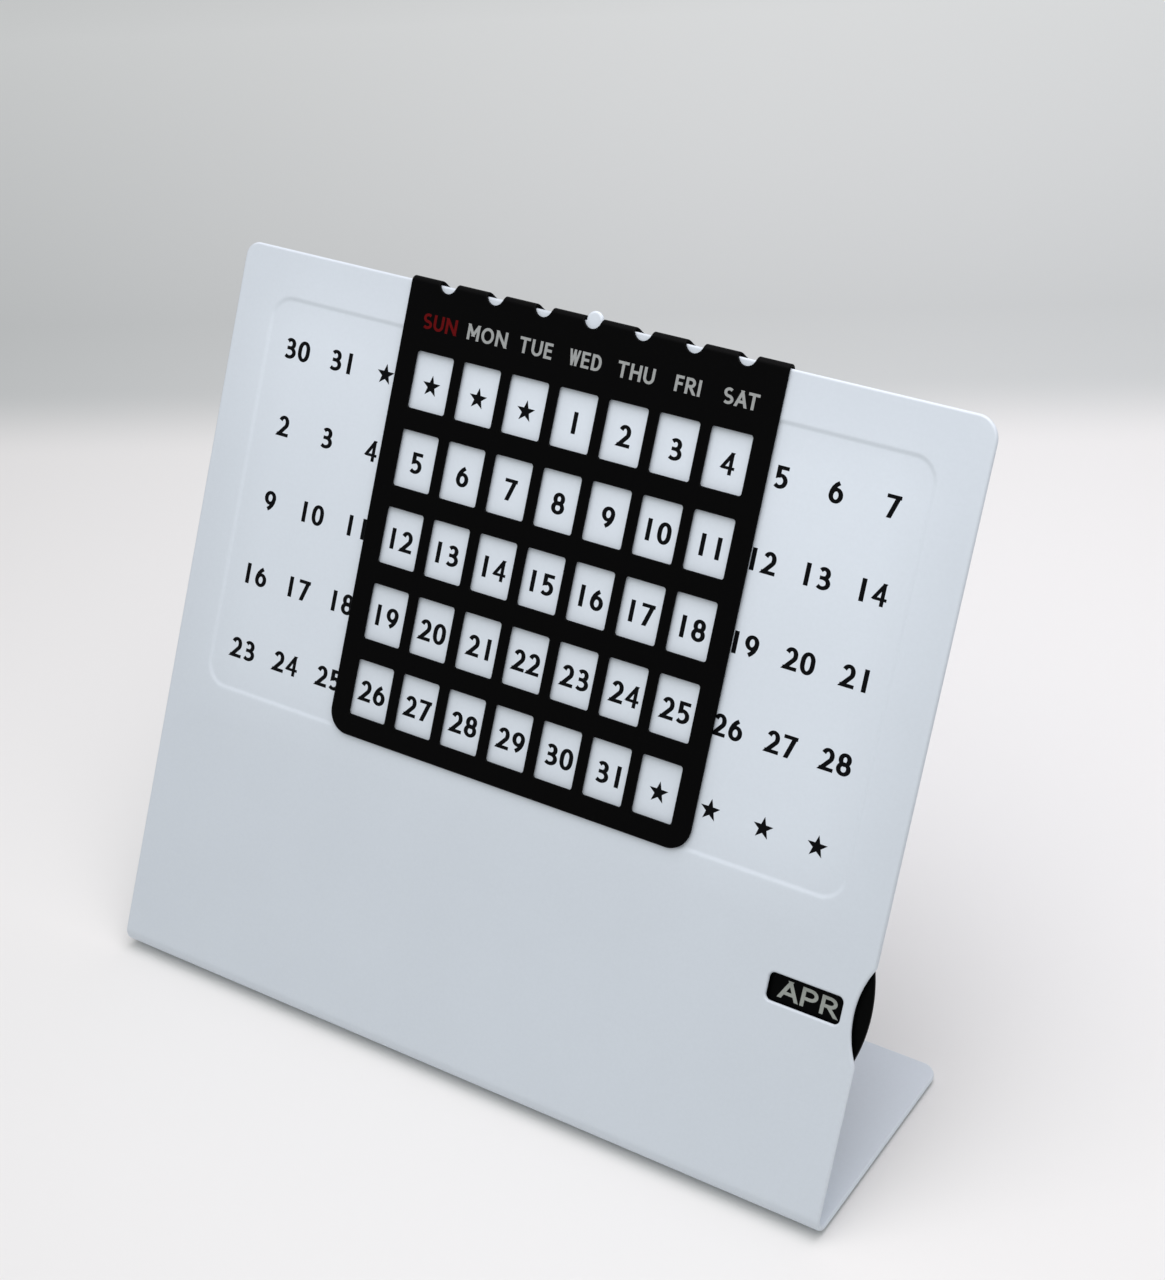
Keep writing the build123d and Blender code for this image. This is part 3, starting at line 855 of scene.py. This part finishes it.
def lattice_tree():
    """The slider's windows: one cell of the sheet repeated over a grid and welded."""
    tree, given = geometry_tree("day_windows", {
        "Cell": "Object", "Columns": "Int", "Rows": "Int", "Column Pitch": "Float",
        "Row Pitch": "Float", "Place": "Vector", "Weld": "Float", "Coat": "Material"})
    grid = add_output(tree, "GeometryNodeMeshGrid", {
        "Size X": (given["Columns"] - 1.0) * given["Column Pitch"],
        "Size Y": (given["Rows"] - 1.0) * given["Row Pitch"],
        "Vertices X": given["Columns"], "Vertices Y": given["Rows"]})
    cell = add_output(tree, "GeometryNodeObjectInfo", {"Object": given["Cell"]}, "Geometry")
    cells = add_output(tree, "GeometryNodeInstanceOnPoints", {"Points": grid, "Instance": cell})
    laid = add_output(tree, "GeometryNodeTransform",
                      {"Geometry": cells, "Translation": given["Place"]})
    real = add_output(tree, "GeometryNodeRealizeInstances", {"Geometry": laid})
    welded = add_output(tree, "GeometryNodeMergeByDistance",
                        {"Geometry": real, "Distance": given["Weld"]})
    end_tree(tree, welded, given["Coat"])
    return tree


# ---- finishes

def start_material(name):
    """An empty material and its object coordinates."""
    material = bpy.data.materials.new(name)
    material.use_nodes = True
    tree = material.node_tree
    tree.nodes.clear()
    return material, tree, add_output(tree, "ShaderNodeTexCoord", output="Object")


def end_material(tree, tint, roughness, surface, shine=0.5, metallic=0.0):
    """Ends a material in its shader."""
    shader = add_output(tree, "ShaderNodeBsdfPrincipled", {
        "Base Color": tint, "Roughness": roughness, "Normal": surface,
        "Specular IOR Level": shine, "Metallic": metallic})
    add_node(tree, "ShaderNodeOutputMaterial", {"Surface": shader})


def noise(tree, coordinates, feature, detail=2.0, harshness=0.5):
    """Noise with features of a size in metres."""
    return add_output(tree, "ShaderNodeTexNoise", {
        "Vector": coordinates, "Scale": 1 / feature, "Detail": detail, "Roughness": harshness})


def spread(tree, value, low, high, start=0.3, end=0.7, course="LINEAR"):
    """Maps a value that runs from start to end, as noise mostly does, to low up to high."""
    return add_output(tree, "ShaderNodeMapRange", {
        "Value": value, "From Min": start, "From Max": end,
        "To Min": low, "To Max": high}, interpolation_type=course)


def blend_colours(tree, factor, first, second):
    """A mix of two colours, each given as its parts or as an output."""
    tones = [tone if isinstance(tone, Output) else (*tone, 1) for tone in (first, second)]
    return add_output(tree, "ShaderNodeMix", {"Factor": factor, 6: tones[0], 7: tones[1]}, 2,
                      data_type="RGBA")


def shaded(tone, factor):
    """A colour made lighter or darker."""
    return [min(1.0, part * factor) for part in tone]


def scaled(tree, tone, factor):
    """A colour times a factor."""
    return add_output(tree, "ShaderNodeVectorMath", {0: tone, "Scale": factor}, operation="SCALE")


def panel_coordinates(tree, coordinates, middle):
    """Object coordinates turned to the panel, from a middle on it."""
    centred = add_output(tree, "ShaderNodeMapping", {"Vector": coordinates, "Location": -middle})
    return add_output(tree, "ShaderNodeMapping", {
        "Vector": centred, "Rotation": PANEL_TILT.to_matrix().transposed().to_euler()})


def soft_field(tree, coordinates, middle, width, height, fade):
    """One over a rectangle of the panel, and nothing past its soft border."""
    laid = panel_coordinates(tree, coordinates, middle)
    across, along = [
        spread(tree, add_output(tree, "ShaderNodeSeparateXYZ", {"Vector": laid}, axis).work("ABSOLUTE"),
               1.0, 0.0, (side - fade) / 2, (side + fade) / 2)
        for axis, side in (("X", width), ("Y", height))]
    return across * along


def relief(tree, height, strength, depth, below=None):
    """A bump of a height in metres, on top of another."""
    inputs = {"Height": height, "Strength": strength, "Distance": depth}
    if below is not None:
        inputs["Normal"] = below
    return add_output(tree, "ShaderNodeBump", inputs)


def powder_coat(name, tone, roughness, peel, grain, shine=0.5, variation=0.015, field=None, gain=1.0):
    """Baked powder coat: soft orange peel, a fine grain and a slightly uneven gloss.

    field is a soft rectangle of the panel whose coat is painted paler by a gain: painted light that
    makes up for the shade of the slider and the recess there.
    """
    material, tree, coordinates = start_material(name)
    cloud = noise(tree, coordinates, 30 * MM, detail=3.0)
    dust = noise(tree, coordinates, 0.7 * MM, detail=1.0)
    mottle = cloud * 0.6 + dust * 0.4
    tint = blend_colours(tree, spread(tree, mottle, 0.0, 1.0, start=0.35, end=0.65),
                         shaded(tone, 1 - variation), shaded(tone, 1 + variation))
    # Painted light: the coat is made paler over the date field's soft rectangle.
    if field:
        painted_light_mask = soft_field(tree, coordinates, *field)
        tint = scaled(tree, tint, spread(tree, painted_light_mask, 1.0, gain, start=0.0, end=1.0))
    ripple = noise(tree, coordinates, 1.5 * MM, detail=1.0)
    specks = noise(tree, coordinates, 0.22 * MM, harshness=0.6)
    wave = relief(tree, ripple, peel, depth=0.06 * MM)
    end_material(tree, tint, spread(tree, dust, roughness - 0.04, roughness + 0.04),
                 relief(tree, specks, grain, depth=0.012 * MM, below=wave), shine)
    return material


def ink(name, tone, roughness):
    """Screen-printed ink: nearly even, with a faintly rough film."""
    material, tree, coordinates = start_material(name)
    film = noise(tree, coordinates, 0.35 * MM, harshness=0.6)
    tint = blend_colours(tree, spread(tree, film, 0.0, 1.0), shaded(tone, 0.93), shaded(tone, 1.07))
    end_material(tree, tint, spread(tree, film, roughness - 0.05, roughness + 0.05),
                 relief(tree, film, strength=0.25, depth=0.008 * MM), shine=0.08)
    return material


def plated_metal(name, tone, roughness, turning):
    """Metal with fine turning marks round the dial's axis and a cloudy plate."""
    material, tree, coordinates = start_material(name)
    laid = panel_coordinates(tree, coordinates, PIVOT)
    marks = add_output(tree, "ShaderNodeTexWave", {
        "Vector": laid, "Scale": turning, "Distortion": 1.5, "Detail": 2.0},
        "Fac", wave_type="RINGS", rings_direction="Z")
    cloud = noise(tree, coordinates, 1.2 * MM, detail=3.0)
    tint = blend_colours(tree, cloud, shaded(tone, 0.86), shaded(tone, 1.08))
    end_material(tree, tint, spread(tree, cloud, roughness - 0.06, roughness + 0.08),
                 relief(tree, marks, strength=0.2, depth=0.01 * MM), metallic=1.0)
    return material


def moulded(name, tone, roughness, grain):
    """Moulded plastic or rubber with a fine spark texture."""
    material, tree, coordinates = start_material(name)
    skin = noise(tree, coordinates, 0.3 * MM, detail=3.0, harshness=0.6)
    cloud = noise(tree, coordinates, 3.0 * MM)
    tint = blend_colours(tree, cloud, shaded(tone, 0.9), shaded(tone, 1.1))
    end_material(tree, tint, spread(tree, skin, roughness - 0.06, roughness + 0.06),
                 relief(tree, skin, grain, depth=0.02 * MM))
    return material


def repaint(names, material):
    """Gives CAD nodes that stay in view a finish of their own."""
    for name in names:
        mesh = frame["nodes"][name].data
        mesh.materials.clear()
        mesh.materials.append(material)


def print_names(name, drawings, finish, body, sizes, places):
    """Prints names on their surface. places are the inputs of the names tree that aren't nought."""
    templates = template_collection(name, [
        ink_mesh(name, drawing, sizes.film, sizes.sunk) for drawing in drawings])
    nought = dict.fromkeys(("Start", "Pitch", "Radius", "First Angle", "Step Angle"), 0.0)
    mesh = run_tree(names_tree(), {
        "Names": templates, "Count": len(drawings), "Tilt": PANEL_TILT, "Ink": finish,
        **nought, **places})
    remove_templates(templates)
    piece(name, mesh, finish, body)


# ---- operators

class CALENDAR_OT_stand(bpy.types.Operator):
    """Cut, press and bend the white stand"""

    bl_idname = "calendar.stand"
    bl_label = "Stand"

    def execute(self, context):
        sizes = context.scene.calendar_stand
        colours = context.scene.calendar_colours
        outer = sizes.bend + sizes.sheet
        turn = math.pi / 2 + math.asin(UP.y)
        tangent = outer / math.tan((math.pi - turn) / 2)
        tab_middle = TAB_TOP - sizes.tab
        panel_top = tab_middle - sizes.tab_rise
        tab_root = math.degrees(math.asin(sizes.tab_rise / sizes.tab))
        base_end = tangent - outer * turn - (sizes.base_depth - tangent)
        half_gap = HALF_WIDTH - sizes.notch_depth + sizes.notch_radius
        notch_rise = math.degrees(math.acos((half_gap - HALF_WIDTH) / sizes.notch_radius))
        notch = (half_gap, DIAL_LEVEL, sizes.notch_radius, 180 + notch_rise, 180 - notch_rise)
        tab = (sizes.tab_shift, tab_middle, sizes.tab, -tab_root, 180 + tab_root)
        points = plate_outline(-HALF_WIDTH, HALF_WIDTH, base_end, panel_top,
                               sizes.base_corner, sizes.panel_corner, [tab], [notch],
                               sizes.left_corner)
        month_window = window_outline(
            sizes.window_x, DIAL_LEVEL - sizes.window_drop, sizes.window_width,
            sizes.window_height, sizes.window_corner)
        recess = window_outline(0, sizes.recess_level + sizes.recess_height / 2,
                                sizes.recess_width, sizes.recess_height, sizes.recess_corner)
        blank = bmesh.new()
        face_rim, back_rim = [
            pressed_ring(blank, recess, sizes.recess_step, sizes.recess_depth, level)
            for level in (0, -sizes.sheet)]
        add_sheet(blank, points, sizes.sheet, sizes.edge, [month_window], [face_rim], [back_rim])
        divide(blank, fold_rows(tangent, outer, turn, STAND_BEND_STEPS, -1))
        fold(blank, tangent, outer, turn, -1)
        middle = panel_matrix(0, sizes.recess_level + sizes.recess_height / 2).translation
        # Painted light: the date field over which the coat is painted paler.
        field = (middle, sizes.recess_width, sizes.recess_height, colours.painted_light_fade)
        coat = powder_coat("white_powder_coat", colours.white, roughness=0.42, peel=0.10,
                           grain=0.16, field=field, gain=colours.painted_light_gain)
        sheet_piece("bent_stand", blank, panel_matrix(), coat, "stand_body",
                    "stand")
        return {"FINISHED"}


class CALENDAR_OT_numbers(bpy.types.Operator):
    """Print the date numbers and stars in the stand's recess"""

    bl_idname = "calendar.numbers"
    bl_label = "Date numbers"

    def execute(self, context):
        sizes = context.scene.calendar_print
        slider = context.scene.calendar_slider
        stand = context.scene.calendar_stand
        pen = Pen(sizes.digit_height, NUMBER_NIB)
        drawings = [pen.triangles(digit) for digit in "0123456789"]
        drawings.append(star_triangles(sizes.star_radius, sizes.star_drop))
        characters = template_collection("date_character", [
            ink_mesh("date_character", drawing, sizes.film, sizes.sunk) for drawing in drawings])
        number_ink = ink("number_ink", context.scene.calendar_colours.number_ink, roughness=0.45)
        middle = panel_matrix(sizes.number_shift, sizes.middle_row, -stand.recess_depth).translation
        mesh = run_tree(numbers_tree(), {
            "Characters": characters, "Columns": sizes.columns, "Rows": slider.rows,
            "Column Pitch": sizes.column_pitch, "Row Pitch": slider.row_pitch,
            "Advance": sizes.digit_advance, "One Shift": sizes.one_shift, "Week": slider.columns,
            "First": slider.columns - 1, "Last Day": LAST_DAY, "Place": middle,
            "Tilt": PANEL_TILT, "Ink": number_ink})
        remove_templates(characters)
        piece("date_numbers", mesh, number_ink, "stand_body")
        return {"FINISHED"}


class CALENDAR_OT_slider(bpy.types.Operator):
    """Cut the black date slider, with its windows and tab holes, and fold it"""

    bl_idname = "calendar.slider"
    bl_label = "Date slider"

    def execute(self, context):
        sizes = context.scene.calendar_slider
        stand = context.scene.calendar_stand
        middle = (SLIDER_LOW.x + SLIDER_HIGH.x) / 2 + sizes.window_shift
        outer = stand.sheet / 2 + sizes.front
        coat = powder_coat("black_powder_coat", context.scene.calendar_colours.black,
                           roughness=0.42, peel=0.12, grain=0.25, shine=0.05)
        flap_end = sizes.fold_level + outer * math.pi + sizes.flap
        points = plate_outline(SLIDER_LOW.x, SLIDER_HIGH.x, sizes.bottom, flap_end,
                               sizes.corner, sizes.flap_corner)
        steps = [k - (sizes.columns - 1) / 2 for k in range(sizes.columns)]
        holes = [self.tab_hole(stand.tab_shift + step * sizes.hole_pitch, sizes, outer)
                 for step in steps]
        inner = self.frame_corners(sizes, middle)
        blank = bmesh.new()
        face_ring = add_ring(blank, inner, 0)
        back_ring = add_ring(blank, inner, -sizes.sheet)
        add_sheet(blank, points, sizes.sheet, sizes.edge, holes, [face_ring], [back_ring])
        divide(blank, fold_rows(sizes.fold_level, outer, math.pi, SLIDER_FOLD_STEPS, 1))
        blank.from_mesh(self.windows(sizes, middle, coat))
        bmesh.ops.remove_doubles(blank, verts=blank.verts, dist=WELD_DISTANCE)
        fold(blank, sizes.fold_level, outer, math.pi, 1)
        sheet_piece("folded_slider", blank, panel_matrix(off=sizes.front), coat, "slider_body",
                    "date_slider")
        return {"FINISHED"}

    def windows(self, sizes, middle, coat):
        """The middle of the sheet: a cell with one window, repeated over a grid."""
        cell = bmesh.new()
        window = window_outline(0, 0, sizes.window_width, sizes.window_height, sizes.window_corner)
        face, back = add_rings(cell, window, cut_edge(sizes.sheet, sizes.edge, -1))
        x, y = sizes.column_pitch / 2, sizes.row_pitch / 2
        corners = [(-x, -y), (x, -y), (x, y), (-x, y)]
        add_flat(cell, add_ring(cell, corners, 0), [face])
        add_flat(cell, add_ring(cell, corners, -sizes.sheet), [back])
        cell_object = bpy.data.objects.new("window_cell", plain_mesh("window_cell", cell))
        lattice = run_tree(lattice_tree(), {
            "Cell": cell_object, "Columns": sizes.columns, "Rows": sizes.rows,
            "Column Pitch": sizes.column_pitch, "Row Pitch": sizes.row_pitch,
            "Place": Vector((middle, sizes.window_level, 0)), "Weld": WELD_DISTANCE, "Coat": coat})
        bpy.data.objects.remove(cell_object)
        return lattice

    def frame_corners(self, sizes, middle):
        """The frame round the windows, with a corner wherever a cell's corner meets it."""
        pitch_x, pitch_y = sizes.column_pitch, sizes.row_pitch
        left, right = [middle + side * sizes.columns * (pitch_x / 2) for side in (-1, 1)]
        low, high = [sizes.window_level + side * sizes.rows * (pitch_y / 2) for side in (-1, 1)]
        corners = [(left + k * pitch_x, low) for k in range(sizes.columns)]
        corners += [(right, low + k * pitch_y) for k in range(sizes.rows)]
        corners += [(right - k * pitch_x, high) for k in range(sizes.columns)]
        corners += [(left, high - k * pitch_y) for k in range(sizes.rows)]
        return corners

    def tab_hole(self, x, sizes, outer):
        """A slot over the fold.

        Its front end is round as seen from the front, and its back end is round on the blank.
        """
        def round_end(middle, start, end):
            """Half of an end, from one turn to another about its middle."""
            turns = [start + (end - start) * k / SLOT_STEPS for k in range(SLOT_STEPS + 1)]
            return [(sizes.hole * math.cos(turn), middle + sizes.hole * math.sin(turn))
                    for turn in turns]

        low_middle = outer - sizes.hole_drop
        side = round_end(low_middle, math.radians(-90), math.asin(-low_middle / sizes.hole))
        for k in range(1, SLOT_STEPS + 1):
            bend = math.asin(low_middle / outer) * k / SLOT_STEPS
            below = low_middle - outer * math.sin(bend)
            side.append((math.sqrt(sizes.hole ** 2 - below ** 2), outer * bend))
        side += round_end(outer * math.pi / 2 - sizes.hole_back, 0.0, math.radians(90))
        left = [(-reach, rise) for reach, rise in side[-2:0:-1]]
        return [(x + reach, sizes.fold_level + rise) for reach, rise in side + left]


class CALENDAR_OT_day_names(bpy.types.Operator):
    """Print the day names on the slider, the first one red"""

    bl_idname = "calendar.day_names"
    bl_label = "Day names"

    def execute(self, context):
        sizes = context.scene.calendar_print
        slider = context.scene.calendar_slider
        colours = context.scene.calendar_colours
        pen = Pen(sizes.day_height, DAY_NIB)
        middle = (SLIDER_LOW.x + SLIDER_HIGH.x) / 2 + sizes.day_shift
        printed = (("sunday_name", WEEKDAYS[:1], colours.sunday_ink),
                   ("weekday_names", WEEKDAYS[1:], colours.day_ink))
        for name, words, tone in printed:
            first = WEEKDAYS.index(words[0]) - (len(WEEKDAYS) - 1) / 2
            drawings = [pen.triangles(word, DAY_GAP * sizes.day_height) for word in words]
            day_ink = ink(name + "_ink", tone, roughness=0.5)
            print_names(name, drawings, day_ink, "slider_body", sizes, {
                "Start": first * sizes.day_pitch, "Pitch": sizes.day_pitch,
                "Place": panel_matrix(middle, sizes.day_level, slider.front).translation})
        return {"FINISHED"}


class CALENDAR_OT_dial(bpy.types.Operator):
    """Cut the month dial"""

    bl_idname = "calendar.dial"
    bl_label = "Month dial"

    def execute(self, context):
        sizes = context.scene.calendar_dial
        blank = bmesh.new()
        add_sheet(blank, outline((0, 0, sizes.radius, 0, 360)), sizes.sheet, sizes.edge,
                  [outline((0, 0, sizes.bore, 0, 360))])
        coat = powder_coat("dial_coat", context.scene.calendar_colours.dial,
                           roughness=0.40, peel=0.08, grain=0.2, shine=0.05)
        sheet_piece("dial_disc", blank, panel_matrix(PIVOT.x, DIAL_LEVEL, sizes.front), coat,
                    "dial_body", "month_dial")
        return {"FINISHED"}


class CALENDAR_OT_month_names(bpy.types.Operator):
    """Print the month names round the dial"""

    bl_idname = "calendar.month_names"
    bl_label = "Month names"

    def execute(self, context):
        sizes = context.scene.calendar_print
        dial = context.scene.calendar_dial
        pen = Pen(sizes.month_height, MONTH_NIB, MONTH_STRETCH)
        gap = MONTH_GAP * sizes.month_height
        drawings = [
            pen.narrowed(word, gap, sizes.month_room).triangles(word, gap, sizes.month_drop)
            for word in MONTHS]
        name_ink = ink("month_name_ink", context.scene.calendar_colours.month_ink, roughness=0.5)
        step = -2 * math.pi / len(MONTHS)
        print_names("month_names", drawings, name_ink, "dial_body", sizes, {
            "Radius": sizes.month_reach, "Step Angle": step,
            "First Angle": sizes.month_turn - step * SHOWN_MONTH,
            "Place": panel_matrix(PIVOT.x, DIAL_LEVEL, dial.front).translation})
        return {"FINISHED"}


class CALENDAR_OT_pivot(bpy.types.Operator):
    """Finish the stud, washers and nut that carry the dial"""

    bl_idname = "calendar.pivot"
    bl_label = "Dial pivot"

    def execute(self, context):
        colours = context.scene.calendar_colours
        repaint(["dial_stud", "retaining_washer", "dome_nut"],
                plated_metal("zinc_plate", colours.zinc, roughness=0.30, turning=900.0))
        repaint(["spring_washer"],
                plated_metal("spring_steel", colours.spring, roughness=0.34, turning=1200.0))
        repaint(["thrust_washer"], moulded("nylon", colours.nylon, roughness=0.5, grain=0.15))
        return {"FINISHED"}


class CALENDAR_OT_foot_pads(bpy.types.Operator):
    """Finish the rubber pads under the base"""

    bl_idname = "calendar.foot_pads"
    bl_label = "Foot pads"

    def execute(self, context):
        colours = context.scene.calendar_colours
        repaint([name for name in frame["nodes"] if name.startswith("foot_pad")],
                moulded("pad_rubber", colours.rubber, roughness=0.8, grain=0.5))
        return {"FINISHED"}


class CALENDAR_OT_studio(bpy.types.Operator):
    """Lay the floor, hang the lights and set the camera"""

    bl_idname = "calendar.studio"
    bl_label = "Studio"

    def execute(self, context):
        studio = context.scene.calendar_studio
        self.lay_floor(studio)
        self.light(context.scene, studio)
        self.set_camera(context.scene, studio)
        context.scene.view_settings.view_transform = "Standard"
        return {"FINISHED"}

    def lay_floor(self, studio):
        """A level sheet whose far part stands for a backdrop."""
        half = studio.floor_size / 2
        sheet = bmesh.new()
        corners = [(-half, -half, 0), (half, -half, 0), (half, half, 0), (-half, half, 0)]
        sheet.faces.new([sheet.verts.new(corner) for corner in corners])
        floor = add_object("floor", plain_mesh("floor", sheet))
        material, tree, coordinates = start_material("floor_paper")
        turn = studio.floor_turn
        across, away = [
            add_output(tree, "ShaderNodeVectorMath", {0: coordinates, 1: direction}, "Value",
                       operation="DOT_PRODUCT")
            for direction in ((math.cos(turn), math.sin(turn), 0),
                              (-math.sin(turn), math.cos(turn), 0))]
        fade = studio.paper_fade
        past_paper = spread(tree, away, 0.0, 1.0, studio.paper_end - fade / 2,
                            studio.paper_end + fade / 2, "SMOOTHSTEP")
        distance = spread(tree, away, 0.0, 1.0, studio.far_start, studio.far_end)
        # Painted light and shade: the backdrop is scaled from darker on its left to paler on its right.
        tone = spread(tree, across, studio.left_light_share, studio.right_light_share,
                      studio.left_end, studio.right_end)
        backdrop = scaled(
            tree, blend_colours(tree, distance, studio.floor_back, studio.floor_far), tone)
        tint = blend_colours(tree, past_paper, studio.floor_near, backdrop)
        fibre = noise(tree, coordinates, 1.0 * MM, detail=3.0)
        end_material(tree, tint, roughness=0.85,
                     surface=relief(tree, fibre, strength=0.05, depth=0.02 * MM))
        floor.data.materials.append(material)

    def light(self, scene, studio):
        """Even light from all round, and two soft boxes that face the calendar."""
        world = bpy.data.worlds.new("studio")
        world.use_nodes = True
        background = world.node_tree.nodes["Background"]
        background.inputs["Color"].default_value = (1, 1, 1, 1)
        background.inputs["Strength"].default_value = studio.sky
        scene.world = world
        for name in ("front", "back"):
            lamp = bpy.data.lights.new(name + "_light", "AREA")
            lamp.shape = "SQUARE"
            lamp.size = getattr(studio, name + "_size")
            lamp.energy = getattr(studio, name + "_power")
            lamp.color = getattr(studio, name + "_tone")
            box = add_object(name + "_light", lamp)
            box.location = getattr(studio, name + "_place")
            box.rotation_euler = (-box.location).to_track_quat("-Z", "Y").to_euler()
            box.visible_camera = False

    def set_camera(self, scene, studio):
        """The camera in its place, turned, tipped down and rolled about its view."""
        azimuth, elevation, roll = (
            studio.camera_azimuth, studio.camera_elevation, studio.camera_roll)
        forward = Vector((-math.sin(azimuth) * math.cos(elevation),
                          math.cos(azimuth) * math.cos(elevation), -math.sin(elevation)))
        level = forward.cross(Vector((0, 0, 1))).normalized()
        above = level.cross(forward)
        right = level * math.cos(roll) + above * math.sin(roll)
        up = right.cross(forward)
        data = bpy.data.cameras.new("camera")
        data.sensor_fit = "AUTO"
        data.sensor_width = 36.0
        data.lens = studio.camera_lens
        data.clip_start = 0.01
        data.clip_end = 20.0
        scene.camera = add_object("camera", data)
        turned = Matrix((right, up, -forward)).transposed().to_4x4()
        scene.camera.matrix_world = Matrix.Translation(studio.camera_place) @ turned


OPERATORS = (
    CALENDAR_OT_studio, CALENDAR_OT_stand, CALENDAR_OT_numbers, CALENDAR_OT_slider,
    CALENDAR_OT_day_names, CALENDAR_OT_dial, CALENDAR_OT_month_names, CALENDAR_OT_pivot,
    CALENDAR_OT_foot_pads,
)
GROUPS = {
    "calendar_stand": StandSizes,
    "calendar_slider": SliderSizes,
    "calendar_dial": DialSizes,
    "calendar_print": PrintSizes,
    "calendar_colours": FinishColours,
    "calendar_studio": StudioSettings,
}


class CALENDAR_PT_parts(bpy.types.Panel):
    """Lists the calendar's parts, sizes and colours"""

    bl_label = "Desk Calendar"
    bl_space_type = "VIEW_3D"
    bl_region_type = "UI"
    bl_category = "Calendar"

    def draw(self, context):
        for operator in OPERATORS:
            self.layout.operator(operator.bl_idname, text=operator.bl_label)
        for name, group in GROUPS.items():
            box = self.layout.box()
            box.label(text=group.__doc__.splitlines()[0])
            for size in group.__annotations__:
                box.prop(getattr(context.scene, name), size)


def register():
    """Adds the property groups, operators and panel."""
    for group in (*GROUPS.values(), *OPERATORS, CALENDAR_PT_parts):
        bpy.utils.register_class(group)
    for name, group in GROUPS.items():
        setattr(bpy.types.Scene, name, PointerProperty(type=group))


def unregister():
    """Takes them away again."""
    for name in GROUPS:
        delattr(bpy.types.Scene, name)
    for group in (CALENDAR_PT_parts, *reversed(OPERATORS), *reversed(GROUPS.values())):
        bpy.utils.unregister_class(group)


def main():
    """Registers the calendar's sizes, operators and panel, and makes the calendar."""
    register()
    for operator in OPERATORS:
        group, action = operator.bl_idname.split(".")
        getattr(getattr(bpy.ops, group), action)()


if __name__ == "__main__":
    main()
